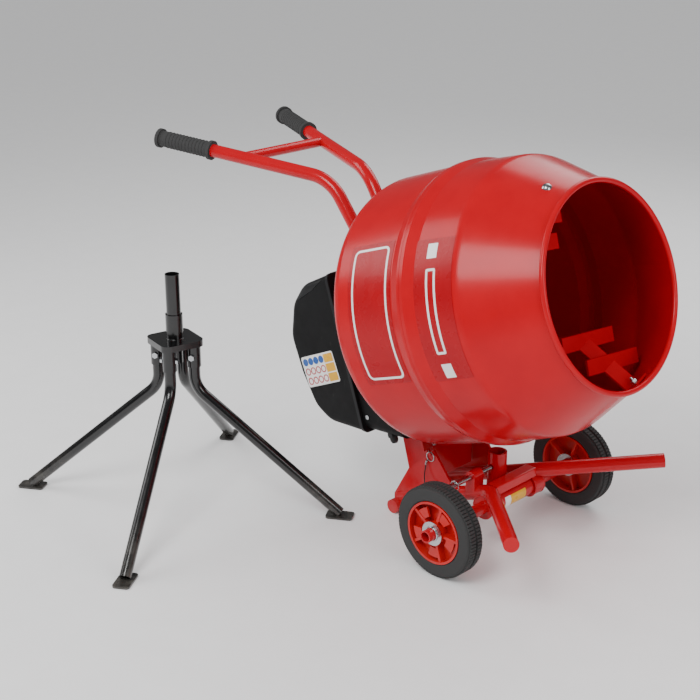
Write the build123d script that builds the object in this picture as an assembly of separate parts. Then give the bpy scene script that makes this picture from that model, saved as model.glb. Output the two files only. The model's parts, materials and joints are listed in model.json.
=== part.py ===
from build123d import *
import math
import os

# Small wheeled concrete mixer with its four-legged ground stand. Millimetres.
# While it is modelled, the origin is on the ground under the middle of the axle:
# +X is forward (the drum mouth), +Y is the left side, +Z is up.
# At export everything is shifted so that the origin is the centre of the whole footprint.

# ---- driving dimensions: wheels and axle ----
WHEEL_R = 100.0
TYRE_WIDTH = 45.0
TYRE_SEAT_R = 68.0
TYRE_SHOULDER = 8.0
TRACK_OUTSIDE = 504.0
AXLE_R = 13.5
AXLE_WALL = 3.0
AXLE_OVERHANG = 20.0
WASHER_R = 26.0
WASHER_T = 2.0
CLIP_WIRE_R = 1.5
RUN_FIT = 0.08
HUB_BOSS_R = 24.0
HUB_WEB_T = 5.0
HUB_SPOKES = 5

# ---- frame ----
TUBE_R = 16.0
TUBE_WALL = 2.5
FRAME_HALF_WIDTH = 75.0
BEND_X = 8.0
BEND_Z = 135.0
FRAME_BEND_R = 52.0
PRONG_TIP = (213.0, 266.0, 162.0)
FOOT_X = -250.0
FOOT_HALF_LENGTH = 104.0
FRAME_REAR_Z = 32.0
FRONT_BAR_DEPTH = 28.0
FRONT_BAR_HEIGHT = 22.0
LUG_R = 26.0

# ---- tilting head ----
HEAD_TUBE_R = 21.2
SOCKET_X = -38.0
SOCKET_TOP_Z = 190.0
SOCKET_BOTTOM_Z = 72.0
SOCKET_BORE_R = 16.3
SLEEVE_END_GAP = 1.5

# ---- locking pin and lanyard ----
PIN_R = 6.0
PIN_Z = 158.0
PIN_TIP_GAP = 1.6
PIN_LENGTH = 174.0
PIN_KNOB_R = 9.0
PIN_KNOB_T = 6.0
PIN_FIT = 0.08
PIN_HOLE_FIT = 0.4
GUIDE_HALF_WIDTH = 12.0
GUIDE_LENGTH = 30.0
RING_R = 10.5
RING_WIRE_R = 1.2
PIN_RING_Y = -140.0
STUD_X = -157.0
STUD_Z = 171.0
STUD_R = 2.5
STUD_NECK = 4.0
LANYARD_R = 1.25

# ---- drum ----
DRUM_TILT = 19.2
DRUM_CENTRE = (-37.9, 0.0, 532.8)
DRUM_R = 299.5
DRUM_WALL = 2.0
DRUM_REAR = -218.0
DRUM_MOUTH = 282.0
MOUTH_R = 200.0
LIP_BEAD_R = 6.0
SHOULDER_AT = 128.0
SHOULDER_R = 285.0
SHAFT_R = 12.5
SHAFT_END = -332.0
FLANGE_R = 60.0
FLANGE_T = 8.0

# ---- mixing paddles, in the drum's own frame ----
PADDLE_ANGLE = 161.0
PADDLE_BOLT_AT = 232.0
PADDLE_BEND_R = 112.0
PADDLE_FRONT_AT = 140.0
PADDLE_REAR_AT = -120.0
PADDLE_FOOT_AT = -172.0
STRAP_WIDTH = 40.0
STRAP_T = 5.0
BLADE_LENGTH = 169.0
BLADE_SHIFT = -18.5
BLADE_WIDTH = 32.0
BLADE_SKEW = -24.0
BLADE_SPOTS = (0.51, 0.98)

# ---- back plate, bracket and gussets ----
PLATE_T = 6.0
BACK_PLATE_AT = -246.0
BACK_PLATE_BOTTOM = -294.0
BACK_PLATE_TOP = 150.0
BACK_PLATE_HALF_WIDTH = 92.0
MOTOR_WING_HALF_WIDTH = 140.0
EAR_INNER_Y = 60.0
LEG_OUTER_Y = 76.0
WEB_BOTTOM_Z = 98.0

# ---- drive ----
GEAR_MODULE = 1.75
PINION_TEETH = 12
GEAR_TEETH = 84
GEAR_WIDTH = 14.0
GEAR_BACK = -318.0
TOOTH_BACKLASH = 0.18
LAYSHAFT_R = 8.0
LARGE_PULLEY_R = 70.0
SMALL_PULLEY_R = 10.0
PULLEY_WIDTH = 20.0
PULLEY_BACK = -375.0
BELT_WIDTH = 12.0
BELT_T = 3.0
BELT_GAP = 0.3
MOTOR_ACROSS = 88.0
MOTOR_UP = -20.0
MOTOR_R = 54.0
MOTOR_FRONT = -392.0
MOTOR_LENGTH = 88.0
MOTOR_POST_R = 5.0
ROTOR_R = 7.0
FAN_R = 42.0
FAN_T = 10.0
CASTING_FRONT = -238.0
CASTING_BACK = -300.0
CASTING_R = 36.0
BEARING_R = 26.0
BEARING_WIDTH = 15.0

# ---- motor housing ----
COVER_HALF_WIDTH = 158.0
COVER_FRONT = -342.0
COVER_WALL = 3.0
COVER_SIDE = ((COVER_FRONT, 130), (-434, 116), (-480, 80), (-514, 6), (-507, -81),
              (-487, -161), (-451, -199), (COVER_FRONT, -230))
COVER_CORNER_R = 66.0
COVER_EDGE_R = 14.0
LID_SEAM = ((-530, 70), (-479, 79), (-401, 101), (-362, 123), (-362, 200), (-530, 200))
LID_GAP = 0.8
TRAY_HALF_WIDTH = 150.0
TRAY_TOP = 85.0
TRAY_BOTTOM_BACK = -227.0
TRAY_BOTTOM_FRONT = -255.0
SCREW_R = 5.0
GLAND_PLACE = (-128.0, -238.0, -286.0)
SWITCH_AT = -430.0
SWITCH_UP = -60.0
SWITCH_LENGTH = 46.0
SWITCH_HEIGHT = 72.0
SWITCH_T = 14.0
BUTTON_R = 9.0
BUTTON_PROUD = 4.0
BUTTON_TRAVEL = 2.5
BUTTON_FIT = 0.3

# ---- handles ----
HANDLE_R = 15.0
HANDLE_WALL = 2.0
HANDLE_BEND_R = 105.0
HANDLE_END = (-920.0, 196.0, 772.0)
HANDLE_KNEE = (-492.0, 58.0, 723.0)
HANDLE_FOOT_Y = EAR_INNER_Y - HANDLE_R
CROSSBAR_R = 12.0
CROSSBAR_X = -708.0
GRIP_LENGTH = 148.0
GRIP_R = 18.5
GRIP_FLANGE_R = 22.5
GRIP_FLANGE_T = 8.0

# ---- ground stand ----
STAND_X = -634.0
STAND_Y = -401.0
STAND_TURN = 33.0
POST_R = 15.9
POST_WALL = 2.5
POST_TOP = 548.0
POST_SHOULDER_R = 19.0
SHOULDER_TOP = 457.0
STAND_PLATE_TOP = 401.0
STAND_PLATE_T = 4.0
STAND_PLATE_HALF = 50.0
STAND_LIP = 14.0
LEG_R = 12.7
LEG_WALL = 2.0
LEG_FIT = 0.2
LEG_SLEEVE_WALL = 2.5
LEG_SLEEVE_BOTTOM = 338.0
LEG_SPREAD = 42.0
LEG_BEND_Z = 288.0
LEG_BEND_R = 60.0
FOOT_REACH = 402.0
PAD_LENGTH = 62.0
PAD_WIDTH = 38.0
PAD_T = 4.0

# ---- places that follow from the dimensions above ----
TYRE_OUT_Y = TRACK_OUTSIDE / 2
TYRE_IN_Y = TYRE_OUT_Y - TYRE_WIDTH
AXLE_END_Y = TYRE_OUT_Y + WASHER_T + AXLE_OVERHANG
LUG_IN_Y = FRAME_HALF_WIDTH - TUBE_R
LUG_OUT_Y = FRAME_HALF_WIDTH + TUBE_R
SLEEVE_END_Y = LUG_IN_Y - SLEEVE_END_GAP
PIN_TIP_Y = -(HEAD_TUBE_R + PIN_TIP_GAP)
PIN_END_Y = PIN_TIP_Y - PIN_LENGTH
GEAR_R = GEAR_MODULE * GEAR_TEETH / 2
PINION_R = GEAR_MODULE * PINION_TEETH / 2
LAYSHAFT_UP = -(GEAR_R + PINION_R)
MOTOR_BACK = MOTOR_FRONT - MOTOR_LENGTH
FRAME_SLOPE = (BEND_Z - FRAME_REAR_Z) / (BEND_X - FOOT_X)
TILT = math.radians(DRUM_TILT)
DRUM_AXIS = Vector(math.cos(TILT), 0, math.sin(TILT))
DRUM_FRAME = Plane(origin=DRUM_CENTRE, x_dir=(0, 1, 0), z_dir=DRUM_AXIS)
SIDE_FRAME = Plane(origin=(0, 0, 0), x_dir=(0, 0, 1), z_dir=(-1, 0, 0))


def in_drum_frame(shape):
    """Places a shape drawn with X across, Y up and Z along the drum's axis."""
    return DRUM_FRAME.location * shape


def drum_point(along, across, up):
    """World place of a point given along, across and above the drum's axis."""
    return DRUM_FRAME.from_local_coords(Vector(across, up, along))


def rod(start, end, radius, bore=0.0):
    """A round bar or tube from one point to another."""
    start, end = Vector(start), Vector(end)
    frame = Plane(origin=start, z_dir=end - start)
    length = (end - start).length
    low = (Align.CENTER, Align.CENTER, Align.MIN)
    body = Cylinder(radius, length, align=low)
    if bore:
        body -= Cylinder(bore, length, align=low)
    return frame.location * body


def bent_tube(points, bend, radius, bore=0.0):
    """A tube along straight runs joined by arcs of one radius."""
    path = FilletPolyline(*points, radius=bend)
    section = Circle(radius)
    if bore:
        section -= Circle(bore)
    start = Plane(origin=path @ 0, z_dir=path % 0)
    return sweep(start * section, path=path)


def ring(centre, normal, radius, wire):
    """A round wire ring."""
    return Plane(origin=centre, z_dir=normal).location * Torus(radius, wire)


def side_plate(points, y_low, y_high):
    """A flat plate upright along X, from an outline in X and Z."""
    outline = make_face(Polyline(*points, close=True))
    plate = extrude(Plane.XZ * outline, y_high - y_low)
    return Pos(0, y_high, 0) * plate


def frame_z(x):
    """Height of the frame tubes' centre line behind their bend."""
    return BEND_Z - FRAME_SLOPE * (BEND_X - x)


# ---- frame ----
def frame_tube_path(side):
    tip = (PRONG_TIP[0], side * PRONG_TIP[1], PRONG_TIP[2])
    bend = (BEND_X, side * FRAME_HALF_WIDTH, BEND_Z)
    return [tip, bend, (FOOT_X, side * FRAME_HALF_WIDTH, FRAME_REAR_Z)]


def solid_frame_tube(side):
    return bent_tube(frame_tube_path(side), FRAME_BEND_R, TUBE_R)


def solid_foot_bar():
    return rod((FOOT_X, -FOOT_HALF_LENGTH, TUBE_R), (FOOT_X, FOOT_HALF_LENGTH, TUBE_R), TUBE_R)


def frame_tube(side):
    points = frame_tube_path(side)
    tube = bent_tube(points, FRAME_BEND_R, TUBE_R, TUBE_R - TUBE_WALL) - solid_foot_bar()
    tip, bend = Vector(points[0]), Vector(points[1])
    inward = (bend - tip).normalized() * TUBE_WALL
    return tube + rod(tip, tip + inward, TUBE_R)


def foot_bar():
    y = FOOT_HALF_LENGTH
    bar = rod((FOOT_X, -y, TUBE_R), (FOOT_X, y, TUBE_R), TUBE_R, TUBE_R - TUBE_WALL)
    for side in (-1, 1):
        cap = rod((FOOT_X, side * y, TUBE_R), (FOOT_X, side * (y - TUBE_WALL), TUBE_R), TUBE_R)
        bar += cap
    return bar


def front_bar():
    top = BEND_Z + FRONT_BAR_HEIGHT / 2
    bar = Box(FRONT_BAR_DEPTH, 2 * FRAME_HALF_WIDTH - TUBE_R, FRONT_BAR_HEIGHT)
    bar = fillet(bar.edges().filter_by(Axis.Y), 3)
    bar = Pos(BEND_X - 4, 0, top - FRONT_BAR_HEIGHT / 2) * bar
    for side in (-1, 1):
        bar -= solid_frame_tube(side)
        bar -= rod((0, side * LUG_IN_Y, WHEEL_R), (0, side * LUG_OUT_Y, WHEEL_R), LUG_R)
    return bar.solids().sort_by(SortBy.VOLUME)[-1]


def axle_lugs():
    lugs = []
    for side in (-1, 1):
        low, high = (0, side * LUG_IN_Y, WHEEL_R), (0, side * LUG_OUT_Y, WHEEL_R)
        lug = rod(low, high, LUG_R, AXLE_R)
        lug -= solid_frame_tube(side)
        lug = lug.solids().sort_by(SortBy.VOLUME)[-1]
        lugs.append(lug)
    return Compound(lugs)


def axle_tube():
    y = AXLE_END_Y
    return rod((0, -y, WHEEL_R), (0, y, WHEEL_R), AXLE_R, AXLE_R - AXLE_WALL)


def axle_washers():
    washers = []
    for side in (-1, 1):
        for y in (TYRE_OUT_Y + 0.2, TYRE_IN_Y - WASHER_T - 0.2):
            low, high = (0, side * y, WHEEL_R), (0, side * (y + WASHER_T), WHEEL_R)
            washers.append(rod(low, high, WASHER_R, AXLE_R))
    return Compound(washers)


def axle_clips():
    clips = []
    for side in (-1, 1):
        y = side * (TYRE_OUT_Y + WASHER_T + 0.2 + CLIP_WIRE_R)
        clips.append(ring((0, y, WHEEL_R), (0, 1, 0), AXLE_R + CLIP_WIRE_R, CLIP_WIRE_R))
    return Compound(clips)


# ---- pedestal ----
def gusset_plate(side):
    line = frame_z
    points = [(-264, line(-264) - 4), (-264, line(-264) + 12), (-222, 114), (-152, 181),
              (-88, line(-88) + 10), (-88, line(-88))]
    near, far = LEG_OUTER_Y, LEG_OUTER_Y + PLATE_T
    low, high = (near, far) if side > 0 else (-far, -near)
    plate = side_plate(points, low, high) - solid_frame_tube(side) - solid_foot_bar()
    plate = plate.solids().sort_by(SortBy.VOLUME)[-1]
    if side < 0:
        stud = (STUD_X, low, STUD_Z)
        neck = (STUD_X, low - STUD_NECK, STUD_Z)
        plate += rod(stud, neck, STUD_R)
        plate += rod(neck, (STUD_X, low - STUD_NECK - 1.5, STUD_Z), STUD_R + 2)
    return plate


def bracket_leg(side):
    foot_front = drum_point(BACK_PLATE_AT, 0, BACK_PLATE_BOTTOM)
    top_front = drum_point(BACK_PLATE_AT, 0, -150)
    top_back = drum_point(BACK_PLATE_AT - 52, 0, -150)
    waist = drum_point(BACK_PLATE_AT - 66, 0, -252)
    points = [(-222, 96), (-176, 96), (foot_front.X, foot_front.Z), (top_front.X, top_front.Z),
              (top_back.X, top_back.Z), (waist.X, waist.Z)]
    low, high = LEG_OUTER_Y - PLATE_T, LEG_OUTER_Y
    low, high = (low, high) if side > 0 else (-high, -low)
    return side_plate(points, low, high)


def back_plate():
    front = BACK_PLATE_AT + PLATE_T
    height = BACK_PLATE_TOP - BACK_PLATE_BOTTOM
    middle = (BACK_PLATE_TOP + BACK_PLATE_BOTTOM) / 2
    low = (Align.CENTER, Align.CENTER, Align.MIN)
    plate = Pos(0, middle, BACK_PLATE_AT) * Box(2 * BACK_PLATE_HALF_WIDTH, height, PLATE_T, align=low)
    wing = Box(2 * MOTOR_WING_HALF_WIDTH, 150, PLATE_T, align=low)
    plate += Pos(0, MOTOR_UP - 10, BACK_PLATE_AT) * wing
    plate = fillet(plate.edges().filter_by(Axis.Z).sort_by(Axis.Y)[-2:], 20)
    for side in (-1, 1):
        ear = Box(PLATE_T, 56, 86, align=(Align.CENTER, Align.MIN, Align.MAX))
        plate += Pos(side * (EAR_INNER_Y + PLATE_T / 2), 92, BACK_PLATE_AT) * ear
    plate -= Pos(0, 0, front) * Cylinder(CASTING_R, 60)
    for across, up in bracket_bolt_places():
        plate -= Pos(across, up, front) * Cylinder(4, 60)
    foot = drum_point(BACK_PLATE_AT, 0, BACK_PLATE_BOTTOM)
    web = Box(PLATE_T, 2 * (LEG_OUTER_Y - PLATE_T), foot.Z - WEB_BOTTOM_Z + 4,
              align=(Align.MIN, Align.CENTER, Align.MIN))
    return in_drum_frame(plate) + Pos(foot.X, 0, WEB_BOTTOM_Z) * web


def hex_bolt(place, direction, grip):
    """A bolt with its head at place, its shank along direction, and a nut past the grip."""
    frame = Plane(origin=place, z_dir=direction)
    low = (Align.CENTER, Align.CENTER, Align.MIN)
    head = extrude(RegularPolygon(7, 6), -5)
    shank = Cylinder(4, grip + 8, align=low)
    nut = Pos(0, 0, grip) * extrude(RegularPolygon(7, 6), 6)
    return frame.location * (head + shank + nut)


def bracket_bolt_places():
    """Bolts through the foot of the back plate, as place across and up."""
    up = BACK_PLATE_BOTTOM + 11
    return [(across, up) for across in (-62, -46, 46, 62)]


def bracket_bolts():
    front = BACK_PLATE_AT + PLATE_T
    bolts = []
    for across, up in bracket_bolt_places():
        bolts.append(in_drum_frame(hex_bolt((across, up, front), (0, 0, -1), PLATE_T)))
    return Compound(bolts)


# ---- tilting head ----
def pivot_sleeve():
    y = SLEEVE_END_Y
    return rod((0, -y, WHEEL_R), (0, y, WHEEL_R), HEAD_TUBE_R, AXLE_R + RUN_FIT)


def socket_tube():
    tube = rod((SOCKET_X, 0, SOCKET_BOTTOM_Z), (SOCKET_X, 0, SOCKET_TOP_Z), HEAD_TUBE_R, SOCKET_BORE_R)
    y = HEAD_TUBE_R + 10
    tube -= rod((0, -y, WHEEL_R), (0, y, WHEEL_R), HEAD_TUBE_R)
    tube -= rod((SOCKET_X, -y, PIN_Z), (SOCKET_X, y, PIN_Z), PIN_R + PIN_HOLE_FIT)
    return tube.solids().sort_by(SortBy.VOLUME)[-1]


# ---- locking pin ----
def pin_guide():
    bottom = frame_z(SOCKET_X)
    top = PIN_Z + GUIDE_HALF_WIDTH
    block = Box(2 * GUIDE_HALF_WIDTH, GUIDE_LENGTH, top - bottom, align=(Align.CENTER, Align.CENTER, Align.MIN))
    block = fillet(block.edges().filter_by(Axis.Y).sort_by(Axis.Z)[-2:], GUIDE_HALF_WIDTH - 1)
    block = Pos(SOCKET_X, -FRAME_HALF_WIDTH, bottom) * block
    block -= solid_frame_tube(-1)
    y = FRAME_HALF_WIDTH
    block -= rod((SOCKET_X, -y - 40, PIN_Z), (SOCKET_X, -y + 40, PIN_Z), PIN_R + PIN_FIT)
    return block.solids().sort_by(SortBy.VOLUME)[-1]


def locking_pin():
    pin = rod((SOCKET_X, PIN_END_Y, PIN_Z), (SOCKET_X, PIN_TIP_Y, PIN_Z), PIN_R)
    pin = chamfer(pin.edges().sort_by(Axis.Y)[-1], 1.5)
    knob = rod((SOCKET_X, PIN_END_Y, PIN_Z), (SOCKET_X, PIN_END_Y + PIN_KNOB_T, PIN_Z), PIN_KNOB_R)
    return pin + knob


def ring_places():
    stud_y = -(LEG_OUTER_Y + PLATE_T + STUD_NECK / 2)
    hanging = Vector(STUD_X, stud_y, STUD_Z + STUD_R - RING_R + RING_WIRE_R)
    on_pin = Vector(SOCKET_X, PIN_RING_Y, PIN_Z + PIN_R - RING_R + RING_WIRE_R + 0.4)
    return hanging, on_pin


def lanyard_rings():
    hanging, on_pin = ring_places()
    upper = ring(hanging + Vector(0, 0, 0.2), (0, 1, 0), RING_R, RING_WIRE_R)
    lower = ring(on_pin, (0, 1, 0), RING_R, RING_WIRE_R)
    return Compound([upper, lower])


def lanyard_route():
    hanging, on_pin = ring_places()
    reach = RING_R + RING_WIRE_R + LANYARD_R
    top = hanging + Vector(-0.7, 0, -0.7) * reach
    end = on_pin + Vector(0, 0, -reach)
    return [top, Vector(-167, -90, 134), Vector(-163, -96, 110), Vector(-148, -106, 90),
            Vector(-122, -117, 79), Vector(-92, -127, 79), Vector(-64, -135, 90),
            Vector(-45, -139, 112), end]


def cord_tube(route, radius, name):
    """A tube of straight runs joined by arcs as large as the two runs allow."""
    radii = []
    for before, corner, after in zip(route, route[1:], route[2:]):
        turn = math.radians((corner - before).get_angle(after - corner))
        shorter = min((corner - before).length, (after - corner).length)
        radii.append(0.45 * shorter / math.tan(turn / 2))
    path = FilletPolyline(*route, radius=radii)
    tube = sweep(Plane(origin=path @ 0, z_dir=path % 0) * Circle(radius), path=path)
    print(name, "radii", [round(r, 1) for r in radii], "length", round(path.length, 1),
          "volume ratio", round(tube.volume / (math.pi * radius ** 2 * path.length), 4))
    return tube


def lanyard():
    return cord_tube(lanyard_route(), LANYARD_R, "lanyard")


# ---- wheels ----
def wheel_place(side):
    """Moves a wheel drawn about Z, outer face up at zero, to its end of the axle."""
    return Plane(origin=(0, side * TYRE_OUT_Y, WHEEL_R), x_dir=(1, 0, 0), z_dir=(0, side, 0)).location


def tyre(side):
    outline = Plane.XZ * Pos((TYRE_SEAT_R + WHEEL_R) / 2, -TYRE_WIDTH / 2) * Rectangle(
        WHEEL_R - TYRE_SEAT_R, TYRE_WIDTH)
    outline = fillet(outline.vertices().sort_by(Axis.X)[-2:], TYRE_SHOULDER)
    return wheel_place(side) * revolve(outline, Axis.Z)


def wheel_hub(side):
    high = (Align.CENTER, Align.CENTER, Align.MAX)
    rim = Cylinder(TYRE_SEAT_R, TYRE_WIDTH, align=high) - Cylinder(TYRE_SEAT_R - 5, TYRE_WIDTH, align=high)
    web = Pos(0, 0, -TYRE_WIDTH / 2) * Cylinder(TYRE_SEAT_R - 4, HUB_WEB_T)
    boss = Cylinder(HUB_BOSS_R, TYRE_WIDTH, align=high)
    hub = rim + web + boss
    spoke = Pos((HUB_BOSS_R + TYRE_SEAT_R) / 2 - 2, 0, -3) * Box(
        TYRE_SEAT_R - HUB_BOSS_R, 6, TYRE_WIDTH - 6, align=(Align.CENTER, Align.CENTER, Align.MAX))
    for i in range(HUB_SPOKES):
        hub += Rot(0, 0, 360 / HUB_SPOKES * i) * spoke
    hub -= Cylinder(AXLE_R + RUN_FIT, TYRE_WIDTH, align=high)
    return wheel_place(side) * hub


# ---- drum ----
def revolve_profile(points):
    """A body of revolution about Z from points of radius and place along the axis."""
    outline = make_face(Polyline(*[(radius, along) for radius, along in points], close=True))
    return revolve(Plane.XZ * outline, Axis.Z)


def cone_radius(along):
    """Outer radius of the front cone between its shoulder and the mouth."""
    share = (along - SHOULDER_AT) / (DRUM_MOUTH - SHOULDER_AT)
    return SHOULDER_R + (MOUTH_R - SHOULDER_R) * share


def drum_rear_shell():
    barrel = DRUM_R - 6
    corner = 30.0
    outer = Polyline((0, DRUM_REAR), (barrel - 6, DRUM_REAR), (barrel, DRUM_REAR + corner), (barrel, -32),
                     (DRUM_R, -12), (DRUM_R, -6), (DRUM_R - DRUM_WALL, -6), (DRUM_R - DRUM_WALL, -12),
                     (barrel - DRUM_WALL, -32), (barrel - DRUM_WALL, DRUM_REAR + corner),
                     (barrel - 6 - DRUM_WALL, DRUM_REAR + DRUM_WALL), (0, DRUM_REAR + DRUM_WALL), close=True)
    face = make_face(outer)
    bends = face.vertices().filter_by(lambda p: abs(p.X - barrel + 6) < 4 and p.Y < DRUM_REAR + 10)
    face = fillet(bends, 26)
    shell = revolve(Plane.XZ * face, Axis.Z)
    return in_drum_frame(shell)


def drum_front_cone():
    wall = DRUM_WALL
    front = DRUM_MOUTH - LIP_BEAD_R
    lip = cone_radius(front)
    outer = Polyline((DRUM_R, -5.6), (DRUM_R, 3), (DRUM_R - 8, 30), (SHOULDER_R, SHOULDER_AT), (lip, front),
                     (lip - wall, front), (SHOULDER_R - wall, SHOULDER_AT), (DRUM_R - 8 - wall, 30),
                     (DRUM_R - wall, 3), (DRUM_R - wall, -5.6), close=True)
    face = make_face(outer)
    bends = face.vertices().filter_by(lambda p: abs(p.Y - SHOULDER_AT) < 1)
    face = fillet(bends, 40)
    bead = Pos(lip + LIP_BEAD_R - wall, front) * Circle(LIP_BEAD_R)
    shell = revolve(Plane.XZ * (face + bead), Axis.Z)
    for angle in (PADDLE_ANGLE, PADDLE_ANGLE + 180):
        shell -= paddle_turn(angle) * bolt_line(PADDLE_BOLT_AT, 4.2)
    return in_drum_frame(shell)


def paddle_turn(angle):
    """Turns a paddle drawn in the plane across = 0, up > 0 to its place round the drum."""
    return Rot(0, 0, -angle)


def bolt_line(along, radius):
    """A bar across the cone's wall, square to it."""
    slope = math.atan2(SHOULDER_R - MOUTH_R, DRUM_MOUTH - SHOULDER_AT)
    normal = Vector(0, math.cos(slope), math.sin(slope))
    centre = Vector(0, cone_radius(along), along)
    return rod(centre - normal * 14, centre + normal * 12, radius)


def strap_points():
    """Middle line of a paddle's strap, as place up and along."""
    slope = (SHOULDER_R - MOUTH_R) / (DRUM_MOUTH - SHOULDER_AT)
    toe = PADDLE_BOLT_AT + 14
    sag = STRAP_WIDTH ** 2 / 8 / (cone_radius(toe) - 10)
    seat = (DRUM_WALL + STRAP_T / 2 + sag + 0.2) / math.cos(math.atan(slope))
    heel = PADDLE_BOLT_AT - 16
    barrel = DRUM_R - 6 - DRUM_WALL - STRAP_T / 2 - STRAP_WIDTH ** 2 / 8 / (DRUM_R - 30) - 0.8
    return [(cone_radius(toe) - seat, toe), (cone_radius(heel) - seat, heel),
            (PADDLE_BEND_R, PADDLE_FRONT_AT), (PADDLE_BEND_R, PADDLE_REAR_AT),
            (barrel, PADDLE_FOOT_AT + 20), (barrel, PADDLE_FOOT_AT - 8)]


def paddle(angle):
    points = strap_points()
    path = FilletPolyline(*[(0, up, along) for up, along in points], radius=[5, 16, 16, 5])
    section = Plane(origin=path @ 0, x_dir=(1, 0, 0), z_dir=path % 0) * Rectangle(STRAP_WIDTH, STRAP_T)
    body = sweep(section, path=path)
    heel, bend = points[1], points[2]
    for spot in BLADE_SPOTS:
        up = heel[0] + (bend[0] - heel[0]) * spot
        along = heel[1] + (bend[1] - heel[1]) * spot
        blade = Rot(0, 0, BLADE_SKEW) * Pos(BLADE_SHIFT, 0, 0) * Box(BLADE_LENGTH, BLADE_WIDTH, STRAP_T)
        body += Pos(0, up, along + STRAP_T) * blade
    body -= bolt_line(PADDLE_BOLT_AT, 4.2)
    return in_drum_frame(paddle_turn(angle) * body)


def paddle_bolt(angle):
    slope = math.atan2(SHOULDER_R - MOUTH_R, DRUM_MOUTH - SHOULDER_AT)
    normal = Vector(0, math.cos(slope), math.sin(slope))
    seat = Vector(0, cone_radius(PADDLE_BOLT_AT), PADDLE_BOLT_AT)
    frame = Plane(origin=seat, z_dir=normal)
    dome = Sphere(11) & Pos(0, 0, 8) * Box(30, 30, 8)
    head = Pos(0, 0, -4) * dome
    shank = Pos(0, 0, 0) * Cylinder(4, 22, align=(Align.CENTER, Align.CENTER, Align.MAX))
    nut_at = -(DRUM_WALL + STRAP_T + 1.6)
    nut = Pos(0, 0, nut_at) * extrude(RegularPolygon(8, 6), -7)
    bolt = frame.location * (head + shank + nut)
    return in_drum_frame(paddle_turn(angle) * bolt)


def drum_bolts():
    return Compound([paddle_bolt(PADDLE_ANGLE + turn) for turn in (0, 180)])


def drum_shaft():
    low = (Align.CENTER, Align.CENTER, Align.MIN)
    shaft = Pos(0, 0, SHAFT_END) * Cylinder(SHAFT_R, DRUM_REAR - SHAFT_END, align=low)
    flange = Pos(0, 0, DRUM_REAR - FLANGE_T) * Cylinder(FLANGE_R, FLANGE_T, align=low)
    shaft += flange
    for i in range(6):
        shaft += Rot(0, 0, 60 * i) * Pos(FLANGE_R - 14, 0, DRUM_REAR - FLANGE_T) * Cylinder(6, 8)
    return in_drum_frame(shaft)


# ---- drive ----
def gear_blank(teeth, width, bore, phase):
    """A spur gear with straight-sided teeth, centred on Z, its back face at zero."""
    pitch_r = GEAR_MODULE * teeth / 2
    tip_r, root_r = pitch_r + 0.9 * GEAR_MODULE, pitch_r - 1.2 * GEAR_MODULE
    half = 360 / teeth / 4 * (1 - TOOTH_BACKLASH)
    lean = math.degrees(math.tan(math.radians(20)) * GEAR_MODULE / pitch_r)
    points = []
    for i in range(teeth):
        middle = phase + 360 / teeth * i
        corners = ((root_r, -half - 1.1 * lean), (tip_r, -half + 0.9 * lean),
                   (tip_r, half - 0.9 * lean), (root_r, half + 1.1 * lean))
        for radius, turn in corners:
            angle = math.radians(middle + turn)
            points.append((radius * math.cos(angle), radius * math.sin(angle)))
    gear = extrude(make_face(Polyline(*points, close=True)), width)
    if bore:
        gear -= Cylinder(bore, 4 * width)
    return gear


def drum_gear():
    gear = gear_blank(GEAR_TEETH, GEAR_WIDTH, SHAFT_R, -90)
    return in_drum_frame(Pos(0, 0, GEAR_BACK) * gear)


def layshaft():
    low = (Align.CENTER, Align.CENTER, Align.MIN)
    shaft = Pos(0, 0, PULLEY_BACK - 6) * Cylinder(LAYSHAFT_R, CASTING_BACK + 38 - PULLEY_BACK + 6, align=low)
    pinion = gear_blank(PINION_TEETH, GEAR_WIDTH + 2, 0, 90 + 180 / PINION_TEETH)
    shaft += Pos(0, 0, GEAR_BACK - 1) * pinion
    return in_drum_frame(Pos(0, LAYSHAFT_UP, 0) * shaft)


def pulley(radius, bore, across, up):
    low = (Align.CENTER, Align.CENTER, Align.MIN)
    wheel = Cylinder(radius + BELT_T + 1, PULLEY_WIDTH, align=low)
    groove = Cylinder(radius + 20, BELT_WIDTH + 1) - Cylinder(radius, BELT_WIDTH + 1)
    wheel -= Pos(0, 0, PULLEY_WIDTH / 2) * groove
    wheel -= Cylinder(bore, 3 * PULLEY_WIDTH)
    return in_drum_frame(Pos(across, up, PULLEY_BACK) * wheel)


def large_pulley():
    return pulley(LARGE_PULLEY_R, LAYSHAFT_R, 0, LAYSHAFT_UP)


def small_pulley():
    return pulley(SMALL_PULLEY_R, ROTOR_R, MOTOR_ACROSS, MOTOR_UP)


def belt_loop(offset):
    """The area inside a belt that runs round both pulleys, a distance outside them."""
    large = Pos(0, LAYSHAFT_UP) * Circle(LARGE_PULLEY_R + offset)
    small = Pos(MOTOR_ACROSS, MOTOR_UP) * Circle(SMALL_PULLEY_R + offset)
    return make_hull(large.edges() + small.edges())


def drive_belt():
    loop = belt_loop(BELT_GAP + BELT_T) - belt_loop(BELT_GAP)
    belt = extrude(loop, BELT_WIDTH)
    return in_drum_frame(Pos(0, 0, PULLEY_BACK + (PULLEY_WIDTH - BELT_WIDTH) / 2) * belt)


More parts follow.
